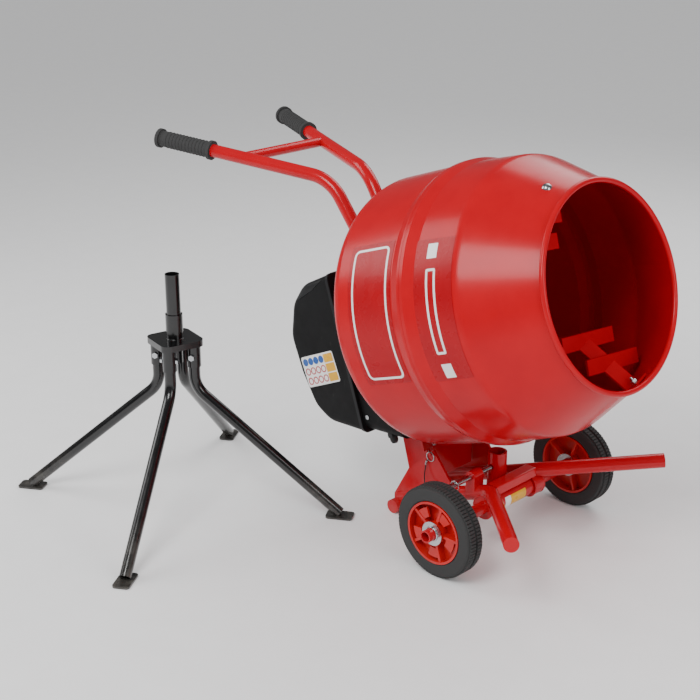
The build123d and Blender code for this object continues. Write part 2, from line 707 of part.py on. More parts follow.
def drive_casting():
    low = (Align.CENTER, Align.CENTER, Align.MIN)
    length = CASTING_FRONT - CASTING_BACK
    body = Pos(0, 0, CASTING_BACK) * Cylinder(CASTING_R, length, align=low)
    boss = Pos(0, LAYSHAFT_UP, CASTING_BACK) * Cylinder(22, 40, align=low)
    rib = Pos(0, LAYSHAFT_UP / 2, CASTING_BACK) * Box(24, -LAYSHAFT_UP, BACK_PLATE_AT - CASTING_BACK, align=low)
    foot = Pos(0, LAYSHAFT_UP / 2 - 10, BACK_PLATE_AT - 8) * Box(100, -LAYSHAFT_UP + 60, 8, align=low)
    body += boss + rib + foot
    body -= Pos(0, 0, CASTING_BACK) * Cylinder(SHAFT_R + 4, length, align=low)
    for back in (CASTING_BACK, CASTING_FRONT - BEARING_WIDTH):
        body -= Pos(0, 0, back) * Cylinder(BEARING_R, BEARING_WIDTH, align=low)
    body -= Pos(0, LAYSHAFT_UP, CASTING_BACK) * Cylinder(LAYSHAFT_R + RUN_FIT, 38.5, align=low)
    return in_drum_frame(body)


def shaft_bearings():
    low = (Align.CENTER, Align.CENTER, Align.MIN)
    one = Cylinder(BEARING_R, BEARING_WIDTH, align=low) - Cylinder(SHAFT_R + RUN_FIT, BEARING_WIDTH, align=low)
    places = (CASTING_BACK, CASTING_FRONT - BEARING_WIDTH)
    return Compound([in_drum_frame(Pos(0, 0, back) * one) for back in places])


def motor_post_places():
    """The three posts that carry the motor, as place across and up."""
    return [(MOTOR_ACROSS + across, MOTOR_UP + up) for across, up in ((40, 22), (34, -38), (-6, 44))]


def motor_body():
    low = (Align.CENTER, Align.CENTER, Align.MIN)
    body = Pos(MOTOR_ACROSS, MOTOR_UP, MOTOR_BACK) * Cylinder(MOTOR_R, MOTOR_LENGTH, align=low)
    for across, up in motor_post_places():
        post = Cylinder(MOTOR_POST_R, BACK_PLATE_AT - MOTOR_FRONT, align=low)
        body += Pos(across, up, MOTOR_FRONT) * post
    body -= Pos(MOTOR_ACROSS, MOTOR_UP, MOTOR_BACK) * Cylinder(ROTOR_R + RUN_FIT, MOTOR_LENGTH, align=low)
    return in_drum_frame(body)


def rotor_shaft():
    low = (Align.CENTER, Align.CENTER, Align.MIN)
    length = PULLEY_BACK + PULLEY_WIDTH + 4 - (MOTOR_BACK - FAN_T - 4)
    shaft = Cylinder(ROTOR_R, length, align=low)
    return in_drum_frame(Pos(MOTOR_ACROSS, MOTOR_UP, MOTOR_BACK - FAN_T - 4) * shaft)


def cooling_fan():
    low = (Align.CENTER, Align.CENTER, Align.MIN)
    fan = Cylinder(14, FAN_T, align=low) + Cylinder(FAN_R, 2, align=low)
    for i in range(8):
        vane = Pos(FAN_R / 2 + 4, 0, 0) * Box(FAN_R - 10, 2, FAN_T, align=low)
        fan += Rot(0, 0, 45 * i) * vane
    fan -= Cylinder(ROTOR_R, 4 * FAN_T)
    return in_drum_frame(Pos(MOTOR_ACROSS, MOTOR_UP, MOTOR_BACK - FAN_T - 2) * fan)


# ---- motor housing ----
def side_prism(points, half_width, corner=0.0):
    """A prism across the machine, from an outline of places along and up."""
    outline = make_face(Polyline(*points, close=True))
    if corner:
        outline = fillet(outline.vertices(), corner)
    return Pos(half_width, 0, 0) * extrude(SIDE_FRAME * outline, 2 * half_width)


def tray_outline(half_width, top, bottom, along, shrink):
    height = top - bottom - 2 * shrink
    shape = RectangleRounded(2 * (half_width - shrink), height, 24 - shrink)
    return Pos(0, (top + bottom) / 2, along) * shape


def tray_block(shrink, front, back):
    """The tray's outer shape, or its hollow when shrunk by the wall."""
    rear = tray_outline(TRAY_HALF_WIDTH, TRAY_TOP, TRAY_BOTTOM_BACK, back, shrink)
    fore = tray_outline(TRAY_HALF_WIDTH - 6, TRAY_TOP, TRAY_BOTTOM_FRONT, front, shrink)
    return loft([rear, fore])


def motor_tray():
    tray = tray_block(0, BACK_PLATE_AT, COVER_FRONT)
    tray -= tray_block(COVER_WALL, BACK_PLATE_AT - COVER_WALL, COVER_FRONT)
    tray -= Pos(0, -40, BACK_PLATE_AT) * Box(180, 200, 20)
    tray -= Pos(0, -20, BACK_PLATE_AT) * Box(270, 110, 20)
    for side in (-1, 1):
        slot = Box(PLATE_T + 1, 140, 70, align=(Align.CENTER, Align.CENTER, Align.MAX))
        tray -= Pos(side * (LEG_OUTER_Y - PLATE_T / 2), -214, BACK_PLATE_AT + 1) * slot
    for across, up in motor_post_places():
        tray -= Pos(across, up, BACK_PLATE_AT) * Cylinder(MOTOR_POST_R, 40)
    for screw in tray_screws():
        tray -= screw
    return in_drum_frame(tray)


def cover_block(shrink):
    """The cover's outer shape, or its hollow when shrunk by the wall."""
    outline = make_face(Polyline(*COVER_SIDE, close=True))
    outline = fillet(outline.vertices().filter_by(lambda p: p.X < COVER_FRONT - 10), COVER_CORNER_R)
    if shrink:
        outline = offset(outline, -shrink)
    half_width = COVER_HALF_WIDTH - shrink
    block = Pos(half_width, 0, 0) * extrude(SIDE_FRAME * outline, 2 * half_width)
    edges = block.edges().filter_by(lambda e: abs(abs(e.center().X) - half_width) < 0.01)
    edges = edges.filter_by(lambda e: e.center().Z < COVER_FRONT - shrink - 1)
    return fillet(edges, COVER_EDGE_R - shrink)


def cover_shell():
    shell = cover_block(0) - cover_block(COVER_WALL)
    opening = tray_outline(TRAY_HALF_WIDTH, TRAY_TOP, TRAY_BOTTOM_BACK, COVER_FRONT - 10, COVER_WALL)
    return shell - extrude(opening, 30)


def motor_cover():
    seam = offset(make_face(Polyline(*LID_SEAM, close=True)), LID_GAP)
    cut = Pos(200, 0, 0) * extrude(SIDE_FRAME * seam, 400)
    return in_drum_frame(cover_shell() - cut)


def cover_lid():
    return in_drum_frame(cover_shell() & side_prism(LID_SEAM, 200))


def tray_screws():
    """Screw heads on the sides of the tray, in the drum's frame."""
    screws = []
    for side in (-1, 1):
        for up in (-196, 60):
            frame = Plane(origin=(side * (TRAY_HALF_WIDTH - 1), up, COVER_FRONT + 12), z_dir=(side, 0, 0))
            screws.append(frame.location * Cylinder(SCREW_R, 5))
    return screws


def cover_screws():
    return Compound([in_drum_frame(screw) for screw in tray_screws()])


def cable_gland():
    low = (Align.CENTER, Align.CENTER, Align.MIN)
    gland = Cylinder(9, 18, align=low) + extrude(RegularPolygon(12, 6), 10)
    gland += Pos(0, 0, 18) * Cone(9, 6, 6, align=low)
    frame = Plane(origin=GLAND_PLACE, z_dir=(0, -1, 0))
    gland = frame.location * gland - tray_block(0, BACK_PLATE_AT, COVER_FRONT)
    gland = gland.solids().sort_by(SortBy.VOLUME)[-1] - frame.location * Cylinder(3.5, 80)
    return in_drum_frame(gland)


def switch_frame():
    return Plane(origin=(COVER_HALF_WIDTH, SWITCH_UP, SWITCH_AT), x_dir=(0, 0, 1), z_dir=(1, 0, 0))


def button_place(row):
    return Pos(0, row * 17, 0)


def switch_body():
    low = (Align.CENTER, Align.CENTER, Align.MIN)
    body = Box(SWITCH_LENGTH, SWITCH_HEIGHT, SWITCH_T, align=low)
    body = fillet(body.edges().filter_by(Axis.Z), 6)
    body = fillet(body.faces().sort_by(Axis.Z)[-1].edges(), 2)
    for row in (-1, 1):
        well = Cylinder(BUTTON_R + BUTTON_FIT, 40, align=low)
        body -= button_place(row) * Pos(0, 0, 3) * well
    return in_drum_frame(switch_frame().location * body)


def switch_button(row):
    low = (Align.CENTER, Align.CENTER, Align.MIN)
    base = 3 + BUTTON_TRAVEL + 0.5
    button = Cylinder(BUTTON_R, SWITCH_T + BUTTON_PROUD - base, align=low)
    button = fillet(button.edges().sort_by(Axis.Z)[-1], 1.5)
    return in_drum_frame(switch_frame().location * button_place(row) * Pos(0, 0, base) * button)


# ---- handles ----
def handle_path(side):
    low = drum_point(-300, side * HANDLE_FOOT_Y, 96)
    straight = drum_point(-315.5, side * HANDLE_FOOT_Y, 152)
    end = Vector(HANDLE_END[0], side * HANDLE_END[1], HANDLE_END[2])
    knee = Vector(HANDLE_KNEE[0], side * HANDLE_KNEE[1], HANDLE_KNEE[2])
    return [end, knee, straight, low]


def handle_tube(side):
    path = FilletPolyline(*handle_path(side), radius=[HANDLE_BEND_R, 60])
    section = Circle(HANDLE_R) - Circle(HANDLE_R - HANDLE_WALL)
    return sweep(Plane(origin=path @ 0, z_dir=path % 0) * section, path=path)


def handle_at(side, x):
    """Point of a handle's centre line at a place along X, on its long straight run."""
    end, knee = handle_path(side)[:2]
    return end + (knee - end) * ((x - end.X) / (knee.X - end.X))


def handle_crossbar():
    left, right = handle_at(1, CROSSBAR_X), handle_at(-1, CROSSBAR_X)
    bar = rod(right, left, CROSSBAR_R)
    for side in (-1, 1):
        end, knee = handle_path(side)[:2]
        bar -= rod(end, knee, HANDLE_R)
        outside = handle_at(side, CROSSBAR_X) + Vector(0, side * 20, 0)
        bar -= Pos(outside) * Box(80, 40, 80)
    return bar.solids().sort_by(SortBy.VOLUME)[-1]


def grip(side):
    end, knee = handle_path(side)[:2]
    along = (knee - end).normalized()
    outer_end = end - along * 4
    inner_end = end + along * (GRIP_LENGTH - 4)
    body = rod(outer_end, inner_end, GRIP_R)
    for start in (outer_end, inner_end - along * GRIP_FLANGE_T):
        body += rod(start, start + along * GRIP_FLANGE_T, GRIP_FLANGE_R)
    return body - rod(end, inner_end + along * 5, HANDLE_R)


# ---- ground stand ----
def stand_place(turn=0.0):
    return Pos(STAND_X, STAND_Y, 0) * Rot(0, 0, STAND_TURN + turn)


def stand_post():
    low = (Align.CENTER, Align.CENTER, Align.MIN)
    bottom = LEG_SLEEVE_BOTTOM + 6
    post = Pos(0, 0, bottom) * Cylinder(POST_R, POST_TOP - bottom, align=low)
    collar = Cylinder(POST_SHOULDER_R, SHOULDER_TOP - STAND_PLATE_TOP, align=low)
    post += Pos(0, 0, STAND_PLATE_TOP) * collar
    post -= Pos(0, 0, bottom) * Cylinder(POST_R - POST_WALL, POST_TOP - bottom, align=low)
    return stand_place() * post


def stand_bracket():
    low = (Align.CENTER, Align.CENTER, Align.MIN)
    high = (Align.CENTER, Align.CENTER, Align.MAX)
    side = 2 * STAND_PLATE_HALF
    plate = extrude(Pos(0, 0, STAND_PLATE_TOP) * RectangleRounded(side, side, 18), -STAND_PLATE_T)
    lip = RectangleRounded(side, side, 18) - RectangleRounded(side - 6, side - 6, 15)
    plate += extrude(Pos(0, 0, STAND_PLATE_TOP) * lip, -STAND_LIP)
    plate = Rot(0, 0, 45) * plate
    height = STAND_PLATE_TOP - STAND_PLATE_T - LEG_SLEEVE_BOTTOM
    bore = LEG_R + LEG_FIT
    for i in range(4):
        sleeve = Cylinder(bore + LEG_SLEEVE_WALL, height, align=low)
        plate += Rot(0, 0, 90 * i) * Pos(LEG_SPREAD, 0, LEG_SLEEVE_BOTTOM) * sleeve
    for i in range(4):
        inside = Cylinder(bore, height, align=low)
        plate -= Rot(0, 0, 90 * i) * Pos(LEG_SPREAD, 0, LEG_SLEEVE_BOTTOM) * inside
    plate -= Pos(0, 0, STAND_PLATE_TOP) * Cylinder(POST_R, 2 * height, align=high)
    plate -= Cylinder(POST_R, 2 * STAND_PLATE_TOP + 10)
    return stand_place() * plate


def stand_leg(index):
    top = STAND_PLATE_TOP - STAND_PLATE_T - 1
    slope_end = (FOOT_REACH - PAD_LENGTH / 2, 0, LEG_R * 0.7)
    points = [(LEG_SPREAD, 0, top), (LEG_SPREAD, 0, LEG_BEND_Z), slope_end]
    leg = bent_tube(points, LEG_BEND_R, LEG_R, LEG_R - LEG_WALL)
    leg -= Pos(FOOT_REACH, 0, 0) * Box(4 * PAD_LENGTH, 4 * PAD_WIDTH, 2 * PAD_T)
    pad = RectangleRounded(PAD_LENGTH, PAD_WIDTH, 8)
    leg += Pos(FOOT_REACH - PAD_LENGTH / 2, 0, 0) * extrude(pad, PAD_T)
    return stand_place(90 * index) * leg


def stand_bolts():
    bolts = []
    low = (Align.CENTER, Align.CENTER, Align.MIN)
    reach = LEG_R + LEG_FIT + LEG_SLEEVE_WALL
    for i in range(4):
        head = Pos(0, 0, reach) * extrude(RegularPolygon(7, 6), 5)
        nut = Pos(0, 0, -reach) * extrude(RegularPolygon(7, 6), -5)
        frame = Plane(origin=(LEG_SPREAD, 0, LEG_SLEEVE_BOTTOM + 24), z_dir=(0, 1, 0))
        bolts.append(stand_place(90 * i) * frame.location * (head + nut))
    return Compound(bolts)


SIDES = (("right", -1), ("left", 1))


def build_parts():
    """Every piece by its name, in the frame that has its origin under the axle."""
    parts = {}
    for name, side in SIDES:
        parts["frame_tube_" + name] = frame_tube(side)
        parts["gusset_plate_" + name] = gusset_plate(side)
        parts["bracket_leg_" + name] = bracket_leg(side)
        parts["tyre_" + name] = tyre(side)
        parts["wheel_hub_" + name] = wheel_hub(side)
        parts["handle_tube_" + name] = handle_tube(side)
        parts["grip_" + name] = grip(side)
    makers = (foot_bar, front_bar, axle_lugs, axle_tube, axle_washers, axle_clips, back_plate,
              bracket_bolts, pivot_sleeve, socket_tube, pin_guide, locking_pin, lanyard_rings, lanyard,
              drum_rear_shell, drum_front_cone, drum_bolts, drum_shaft, drum_gear, layshaft, large_pulley,
              small_pulley, drive_belt, drive_casting, shaft_bearings, motor_body, rotor_shaft, cooling_fan,
              motor_tray, motor_cover, cover_lid, cover_screws, cable_gland, switch_body, handle_crossbar,
              stand_post, stand_bracket, stand_bolts)
    for maker in makers:
        parts[maker.__name__] = maker()
    parts["paddle_lower"] = paddle(PADDLE_ANGLE)
    parts["paddle_upper"] = paddle(PADDLE_ANGLE + 180)
    parts["start_button"] = switch_button(1)
    parts["stop_button"] = switch_button(-1)
    for i in range(4):
        parts["stand_leg_" + str(i + 1)] = stand_leg(i)
    return parts


def main():
    os.makedirs("parts", exist_ok=True)
    parts = build_parts()
    box = Compound(list(parts.values())).bounding_box()
    shift = Vector(-(box.min.X + box.max.X) / 2, -(box.min.Y + box.max.Y) / 2, -box.min.Z)
    for name, shape in parts.items():
        export_step(Pos(shift) * shape, "parts/" + name + ".step")
    print("nodes", len(parts), "shift", tuple(round(value, 4) for value in shift))
    print("box", tuple(round(value, 1) for value in box.size))


main()
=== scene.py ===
"""Looks of a small wheeled concrete mixer and its loose ground stand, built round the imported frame."""

import json
import logging
import math
from dataclasses import dataclass, field
from enum import Enum
from typing import Callable, Iterable, Sequence

import bpy
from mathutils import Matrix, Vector

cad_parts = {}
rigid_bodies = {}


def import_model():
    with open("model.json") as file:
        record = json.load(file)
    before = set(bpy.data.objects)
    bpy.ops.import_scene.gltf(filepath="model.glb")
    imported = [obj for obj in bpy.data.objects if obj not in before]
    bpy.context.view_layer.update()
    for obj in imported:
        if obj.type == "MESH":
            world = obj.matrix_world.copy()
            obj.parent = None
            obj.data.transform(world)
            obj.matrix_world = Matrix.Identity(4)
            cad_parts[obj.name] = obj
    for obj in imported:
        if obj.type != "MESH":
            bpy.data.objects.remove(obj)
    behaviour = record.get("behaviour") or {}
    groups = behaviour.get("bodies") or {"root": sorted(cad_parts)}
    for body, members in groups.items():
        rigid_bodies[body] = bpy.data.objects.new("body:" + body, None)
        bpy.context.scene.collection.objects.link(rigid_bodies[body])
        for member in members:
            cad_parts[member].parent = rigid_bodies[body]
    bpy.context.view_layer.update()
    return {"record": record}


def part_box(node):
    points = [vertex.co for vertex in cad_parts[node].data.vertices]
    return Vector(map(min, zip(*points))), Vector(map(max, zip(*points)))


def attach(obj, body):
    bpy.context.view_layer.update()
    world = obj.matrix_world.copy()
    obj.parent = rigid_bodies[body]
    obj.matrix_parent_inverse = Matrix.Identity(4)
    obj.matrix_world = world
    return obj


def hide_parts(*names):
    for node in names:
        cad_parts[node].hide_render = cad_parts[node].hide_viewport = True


LOG = logging.getLogger("concrete_mixer")
MM = 0.001

Tree = bpy.types.NodeTree
Socket = bpy.types.NodeSocket
Piece = bpy.types.Object

# How big the blots of each kind of unevenness are, in millimetres.
MOTTLE_SIZE = 70.0
STREAK_SIZE = 9.0
DUST_SIZE = 22.0
GLOSS_SIZE = 28.0


# ---------------------------------------------------------------- colours and nodes


def linear(hex_colour: str, alpha: float = 1.0) -> tuple[float, float, float, float]:
    """Turns an sRGB hex colour into Blender's linear values.

    Args:
        hex_colour: six hex digits after a hash sign.
        alpha: the fourth channel.

    Returns:
        Linear red, green and blue, and alpha.
    """
    channels = []
    for start in (1, 3, 5):
        value = int(hex_colour[start:start + 2], 16) / 255
        channels.append(value / 12.92 if value <= 0.04045 else ((value + 0.055) / 1.055) ** 2.4)
    return channels[0], channels[1], channels[2], alpha


def add_node(tree: Tree, kind: str, links: dict | None = None, **settings) -> bpy.types.Node:
    """Adds one node with its settings, input values and links.

    Args:
        tree: the material's node tree.
        kind: the node's type name.
        links: input name or number to a value, or to the output socket that feeds it.
        settings: the node's own properties.

    Returns:
        The new node.
    """
    made = tree.nodes.new(kind)
    for key, value in settings.items():
        setattr(made, key, value)
    for key, value in (links or {}).items():
        if isinstance(value, Socket):
            tree.links.new(value, made.inputs[key])
        else:
            made.inputs[key].default_value = value
    return made


class Texture(Enum):
    """How a surface was made, which settles the pattern of its bump."""

    SPRAYED = "sprayed"
    MOULDED = "moulded"
    TURNED = "turned"
    CAST = "cast"
    PLATED = "plated"
    PRINTED = "printed"


@dataclass(frozen=True)
class Finish:
    """One real material: its colours, its gloss and the marks of how it was made.

    Sizes are in millimetres and colours are sRGB hex values.
    """

    name: str
    colour: str
    mottle: str
    texture: Texture
    roughness: float
    spread: float
    grain: float
    relief: float
    metallic: float = 0.0
    coat: float = 0.0
    specular: float = 0.5
    dust: str = "#8F8A82"
    dust_height: float = 0.0
    dust_share: float = 0.0
    scuffs: float = 0.0

    def material(self) -> bpy.types.Material:
        """Builds the node material, once.

        Returns:
            The material of that name.
        """
        known = bpy.data.materials.get(self.name)
        if known:
            return known
        made = bpy.data.materials.new(self.name)
        made.use_nodes = True
        tree = made.node_tree
        tree.nodes.clear()
        place = add_node(tree, "ShaderNodeTexCoord").outputs["Object"]
        colour = self._colour(tree, place)
        rough = self._roughness(tree, place)
        shader = add_node(tree, "ShaderNodeBsdfPrincipled", {
            "Base Color": colour, "Roughness": rough, "Metallic": self.metallic,
            "Normal": self._relief(tree, place), "Coat Weight": self.coat, "Coat Roughness": 0.08,
            "Specular IOR Level": self.specular})
        add_node(tree, "ShaderNodeOutputMaterial", {"Surface": shader.outputs["BSDF"]})
        made.diffuse_color = linear(self.colour)
        return made

    def _noise(self, tree: Tree, place: Socket, size: float, detail: float = 3.0,
               stretch: Sequence[float] = (1, 1, 1)) -> Socket:
        """Adds a noise.

        Args:
            tree: the material's node tree.
            place: the coordinates it reads.
            size: about how many millimetres across its blots are.
            detail: how many finer layers it has.
            stretch: its scale along each axis.

        Returns:
            The noise, about 0.3 to 0.7.
        """
        turned = add_node(tree, "ShaderNodeMapping", {"Vector": place, "Scale": stretch})
        noise = add_node(tree, "ShaderNodeTexNoise", {
            "Vector": turned.outputs[0], "Scale": 1 / (size * MM), "Detail": detail, "Roughness": 0.55})
        return noise.outputs["Fac"]

    def _ramp(self, tree: Tree, value: Socket, low: float, high: float, to_low: float,
              to_high: float) -> Socket:
        """Maps low..high of a value onto to_low..to_high, and holds it there outside."""
        links = {"Value": value, "From Min": low, "From Max": high, "To Min": to_low, "To Max": to_high}
        return add_node(tree, "ShaderNodeMapRange", links, clamp=True).outputs["Result"]

    def _mix(self, tree: Tree, share: Socket, first: Sequence[float] | Socket,
             second: Sequence[float] | Socket) -> Socket:
        """Mixes two colours.

        Args:
            tree: the material's node tree.
            share: how much of the second colour there is.
            first: a colour, or the socket that gives it.
            second: a colour, or the socket that gives it.

        Returns:
            The mixed colour.
        """
        mix = add_node(tree, "ShaderNodeMix", {0: share}, data_type="RGBA")
        for socket, value in ((6, first), (7, second)):
            if isinstance(value, Socket):
                tree.links.new(value, mix.inputs[socket])
            else:
                mix.inputs[socket].default_value = value
        return mix.outputs[2]

    def _colour(self, tree: Tree, place: Socket) -> Socket:
        """Base colour, its broad mottling, its scuffs and the dust that lies low down.

        Args:
            tree: the material's node tree.
            place: the coordinates that its patterns read.

        Returns:
            The colour.
        """
        broad = self._ramp(tree, self._noise(tree, place, MOTTLE_SIZE), 0.35, 0.7, 0, 1)
        colour = self._mix(tree, broad, linear(self.colour), linear(self.mottle))
        if self.scuffs:
            streak = self._noise(tree, place, STREAK_SIZE, 5, (1, 1, 0.22))
            share = self._ramp(tree, streak, 0.66, 0.74, 0, self.scuffs)
            colour = self._mix(tree, share, colour, linear(self.dust))
        if self.dust_share:
            height = add_node(tree, "ShaderNodeSeparateXYZ", {0: place}).outputs["Z"]
            low = self._ramp(tree, height, 0, self.dust_height * MM, self.dust_share, 0)
            patch = self._ramp(tree, self._noise(tree, place, DUST_SIZE, 6), 0.35, 0.65, 0.15, 1)
            share = add_node(tree, "ShaderNodeMath", {0: low, 1: patch}, operation="MULTIPLY")
            colour = self._mix(tree, share.outputs[0], colour, linear(self.dust))
        return colour

    def _roughness(self, tree: Tree, place: Socket) -> Socket:
        """Roughness that wanders by the finish's spread.

        Args:
            tree: the material's node tree.
            place: the coordinates that its patterns read.

        Returns:
            The roughness.
        """
        wander = self._noise(tree, place, GLOSS_SIZE, 4)
        low, high = self.roughness - self.spread, self.roughness + self.spread
        return self._ramp(tree, wander, 0.3, 0.7, max(low, 0.02), high)

    def _relief(self, tree: Tree, place: Socket) -> Socket:
        """Bump of the way the surface was made.

        Args:
            tree: the material's node tree.
            place: the coordinates that its patterns read.

        Returns:
            The bumped normal.
        """
        if self.texture is Texture.MOULDED:
            # Spark-eroded mould grain: small rounded pits side by side.
            cells = add_node(tree, "ShaderNodeTexVoronoi", {
                "Vector": place, "Scale": 1 / (self.grain * MM)})
            height = cells.outputs["Distance"]
        elif self.texture is Texture.TURNED:
            height = self._noise(tree, place, self.grain, 2, (0.15, 1, 1))
        else:
            height = self._noise(tree, place, self.grain, 5 if self.texture is Texture.CAST else 2)
        bump = add_node(tree, "ShaderNodeBump", {
            "Height": height, "Strength": 0.6, "Distance": self.relief * MM})
        return bump.outputs["Normal"]


# Sprayed polyester enamel on steel: wet gloss over a slight orange peel.
RED_ENAMEL = Finish("red_enamel", "#BC0016", "#B40015", Texture.SPRAYED, 0.2, 0.03, 3.2, 0.05,
                    specular=0.3, coat=0.1, dust_height=160, dust_share=0.14, scuffs=0.05)
# The same enamel on the spun drum, a little deeper, with softer gloss.
DRUM_ENAMEL = Finish("drum_enamel", "#BA0015", "#B20014", Texture.SPRAYED, 0.24, 0.02, 4.5, 0.05,
                     specular=0.2, coat=0.05, scuffs=0.02)
# Dipped black enamel of the stand: thick, glassy, with runs too shallow to see one by one.
BLACK_ENAMEL = Finish("black_enamel", "#0B0B0C", "#121213", Texture.SPRAYED, 0.22, 0.06, 4.0, 0.06,
                      coat=0.4, dust_height=120, dust_share=0.25, scuffs=0.08)
# Grained ABS of the housing: matte, with a leathery mould grain drawn at 1.6 mm so that it shows.
BLACK_ABS = Finish("grained_black_abs", "#0E0E0F", "#121213", Texture.MOULDED, 0.54, 0.07, 1.6, 0.14,
                   specular=0.2, scuffs=0.05)
# The lid is the same ABS from a smoother mould: its lower roughness is real, while its base colour is
# painted lighter as a painted highlight where light grazes it.
LID_ABS_PAINTED_LIGHT = Finish("lid_black_abs_painted_light", "#151517", "#19191B", Texture.MOULDED, 0.42, 0.06, 1.3, 0.08,
                 specular=0.3, scuffs=0.05)
# Glass-filled nylon of the glands and switch body: dull and fine.
BLACK_NYLON = Finish("black_nylon", "#0B0B0C", "#101011", Texture.MOULDED, 0.46, 0.05, 0.9, 0.05)
# Vulcanised tyre rubber: nearly black, dry, greyed by dust near the ground.
TYRE_RUBBER = Finish("tyre_rubber", "#0B0B0B", "#100F0F", Texture.CAST, 0.72, 0.1, 1.4, 0.12,
                     dust_height=40, dust_share=0.2, scuffs=0.06, specular=0.3)
# Softer grip rubber, a little greasy from hands.
GRIP_RUBBER = Finish("grip_rubber", "#0A0A0B", "#0F0F10", Texture.MOULDED, 0.56, 0.08, 1.1, 0.07,
                     specular=0.25)
# Ribbed drive belt of chloroprene.
BELT_RUBBER = Finish("belt_rubber", "#101010", "#1A1A1A", Texture.CAST, 0.66, 0.08, 1.0, 0.08)
# Injection-moulded polypropylene hubs: waxy red with soft gloss.
HUB_PLASTIC = Finish("red_polypropylene", "#C40806", "#B30605", Texture.MOULDED, 0.36, 0.06, 1.2, 0.04,
                     dust_height=120, dust_share=0.12)
# Bright zinc plate on bolts, pin, washers and rings: pale, faintly cloudy metal.
ZINC_PLATE = Finish("zinc_plate", "#C9CBCD", "#B4B6B9", Texture.PLATED, 0.24, 0.08, 2.0, 0.03,
                    metallic=1.0)
# Turned and ground steel of shafts, gears and pulleys.
TURNED_STEEL = Finish("turned_steel", "#9A9A9B", "#858687", Texture.TURNED, 0.34, 0.09, 0.9, 0.04,
                      metallic=1.0)
# Sand-cast iron of the bearing housing and the motor's frame, grey and pitted.
CAST_IRON = Finish("cast_iron", "#5A5B5D", "#48494B", Texture.CAST, 0.55, 0.1, 1.8, 0.25, metallic=0.6)
# Extruded plastic jacket of the wire lanyard: thin, dark and slightly glossy.
WIRE_JACKET = Finish("wire_jacket", "#0C0C0D", "#151516", Texture.SPRAYED, 0.38, 0.06, 1.2, 0.03)
# Moulded caps of the two switch buttons, satin and even.
GREEN_BUTTON = Finish("green_button_plastic", "#0E7A33", "#0C6B2D", Texture.MOULDED, 0.34, 0.05, 0.8, 0.02)
RED_BUTTON = Finish("red_button_plastic", "#B0120F", "#9C0F0D", Texture.MOULDED, 0.34, 0.05, 0.8, 0.02)
# Printed vinyl of the frames and panels: thin, even and satin.
WHITE_VINYL = Finish("white_vinyl", "#EDEDEB", "#E4E4E2", Texture.PRINTED, 0.3, 0.05, 6.0, 0.02, coat=0.3)
YELLOW_VINYL = Finish("yellow_vinyl", "#E2A90E", "#D69E0B", Texture.PRINTED, 0.3, 0.05, 6.0, 0.02, coat=0.3)
BLUE_VINYL = Finish("blue_vinyl", "#1552A0", "#124A94", Texture.PRINTED, 0.3, 0.05, 6.0, 0.02, coat=0.3)
PALE_RED_VINYL = Finish("pale_red_vinyl", "#B8383C", "#B03438", Texture.PRINTED, 0.3, 0.05, 6.0, 0.02,
                        coat=0.3)
DARK_RED_VINYL = Finish("dark_red_vinyl", "#A60013", "#9E0012", Texture.PRINTED, 0.28, 0.04, 6.0, 0.02,
                        coat=0.05, specular=0.2)

NODE_FINISHES: tuple[tuple[Finish, tuple[str, ...]], ...] = (
    (DRUM_ENAMEL, ("drum_rear_shell", "drum_front_cone", "paddle_lower", "paddle_upper")),
    (BLACK_ENAMEL, ("stand_post", "stand_bracket", "stand_leg_1", "stand_leg_2", "stand_leg_3",
                    "stand_leg_4")),
    (BLACK_ABS, ("motor_cover", "motor_tray")),
    # The lid's base colour is painted lighter than the housing's, a painted highlight.
    (LID_ABS_PAINTED_LIGHT, ("cover_lid",)),
    (BLACK_NYLON, ("switch_body", "cable_gland", "cooling_fan")),
    (TYRE_RUBBER, ("tyre_right", "tyre_left")),
    (GRIP_RUBBER, ("grip_right", "grip_left")),
    (BELT_RUBBER, ("drive_belt",)),
    (HUB_PLASTIC, ("wheel_hub_right", "wheel_hub_left")),
    (ZINC_PLATE, ("axle_washers", "axle_clips", "bracket_bolts", "drum_bolts", "lanyard_rings",
                  "locking_pin", "cover_screws", "stand_bolts")),
    (TURNED_STEEL, ("drum_gear", "layshaft", "large_pulley", "small_pulley", "rotor_shaft",
                    "shaft_bearings", "drum_shaft")),
    (CAST_IRON, ("motor_body", "drive_casting")),
    (WIRE_JACKET, ("lanyard",)),
    (GREEN_BUTTON, ("start_button",)),
    (RED_BUTTON, ("stop_button",)),
)


# ---------------------------------------------------------------- hand tools


def deselect_all() -> None:
    """Leaves nothing selected, so an operator acts on what is added next."""
    if bpy.context.object and bpy.context.object.mode != "OBJECT":
        bpy.ops.object.mode_set(mode="OBJECT")
    bpy.ops.object.select_all(action="DESELECT")


def pick_faces(obj: Piece, test: Callable[[Vector, Vector], bool]) -> None:
    """Selects the faces that pass a test, and opens edit mode on them.

    Args:
        obj: the active mesh object.
        test: is given a face's centre and normal in the object's own frame.
    """
    bpy.ops.object.mode_set(mode="EDIT")
    bpy.ops.mesh.select_mode(type="FACE")
    bpy.ops.mesh.select_all(action="DESELECT")
    bpy.ops.object.mode_set(mode="OBJECT")
    for polygon in obj.data.polygons:
        polygon.select = test(polygon.center, polygon.normal)
    bpy.ops.object.mode_set(mode="EDIT")


def apply_modifiers(obj: Piece) -> None:
    """Applies every modifier of a piece, in order."""
    bpy.context.view_layer.objects.active = obj
    for modifier in list(obj.modifiers):
        bpy.ops.object.modifier_apply(modifier=modifier.name)


def join_pieces(pieces: Sequence[Piece]) -> Piece:
    """Joins copies into one piece, the first.

    Args:
        pieces: mesh objects.

    Returns:
        The first of them, holding all the meshes.
    """
    deselect_all()
    for piece in pieces:
        piece.select_set(True)
    bpy.context.view_layer.objects.active = pieces[0]
    if len(pieces) > 1:
        bpy.ops.object.join()
    return pieces[0]


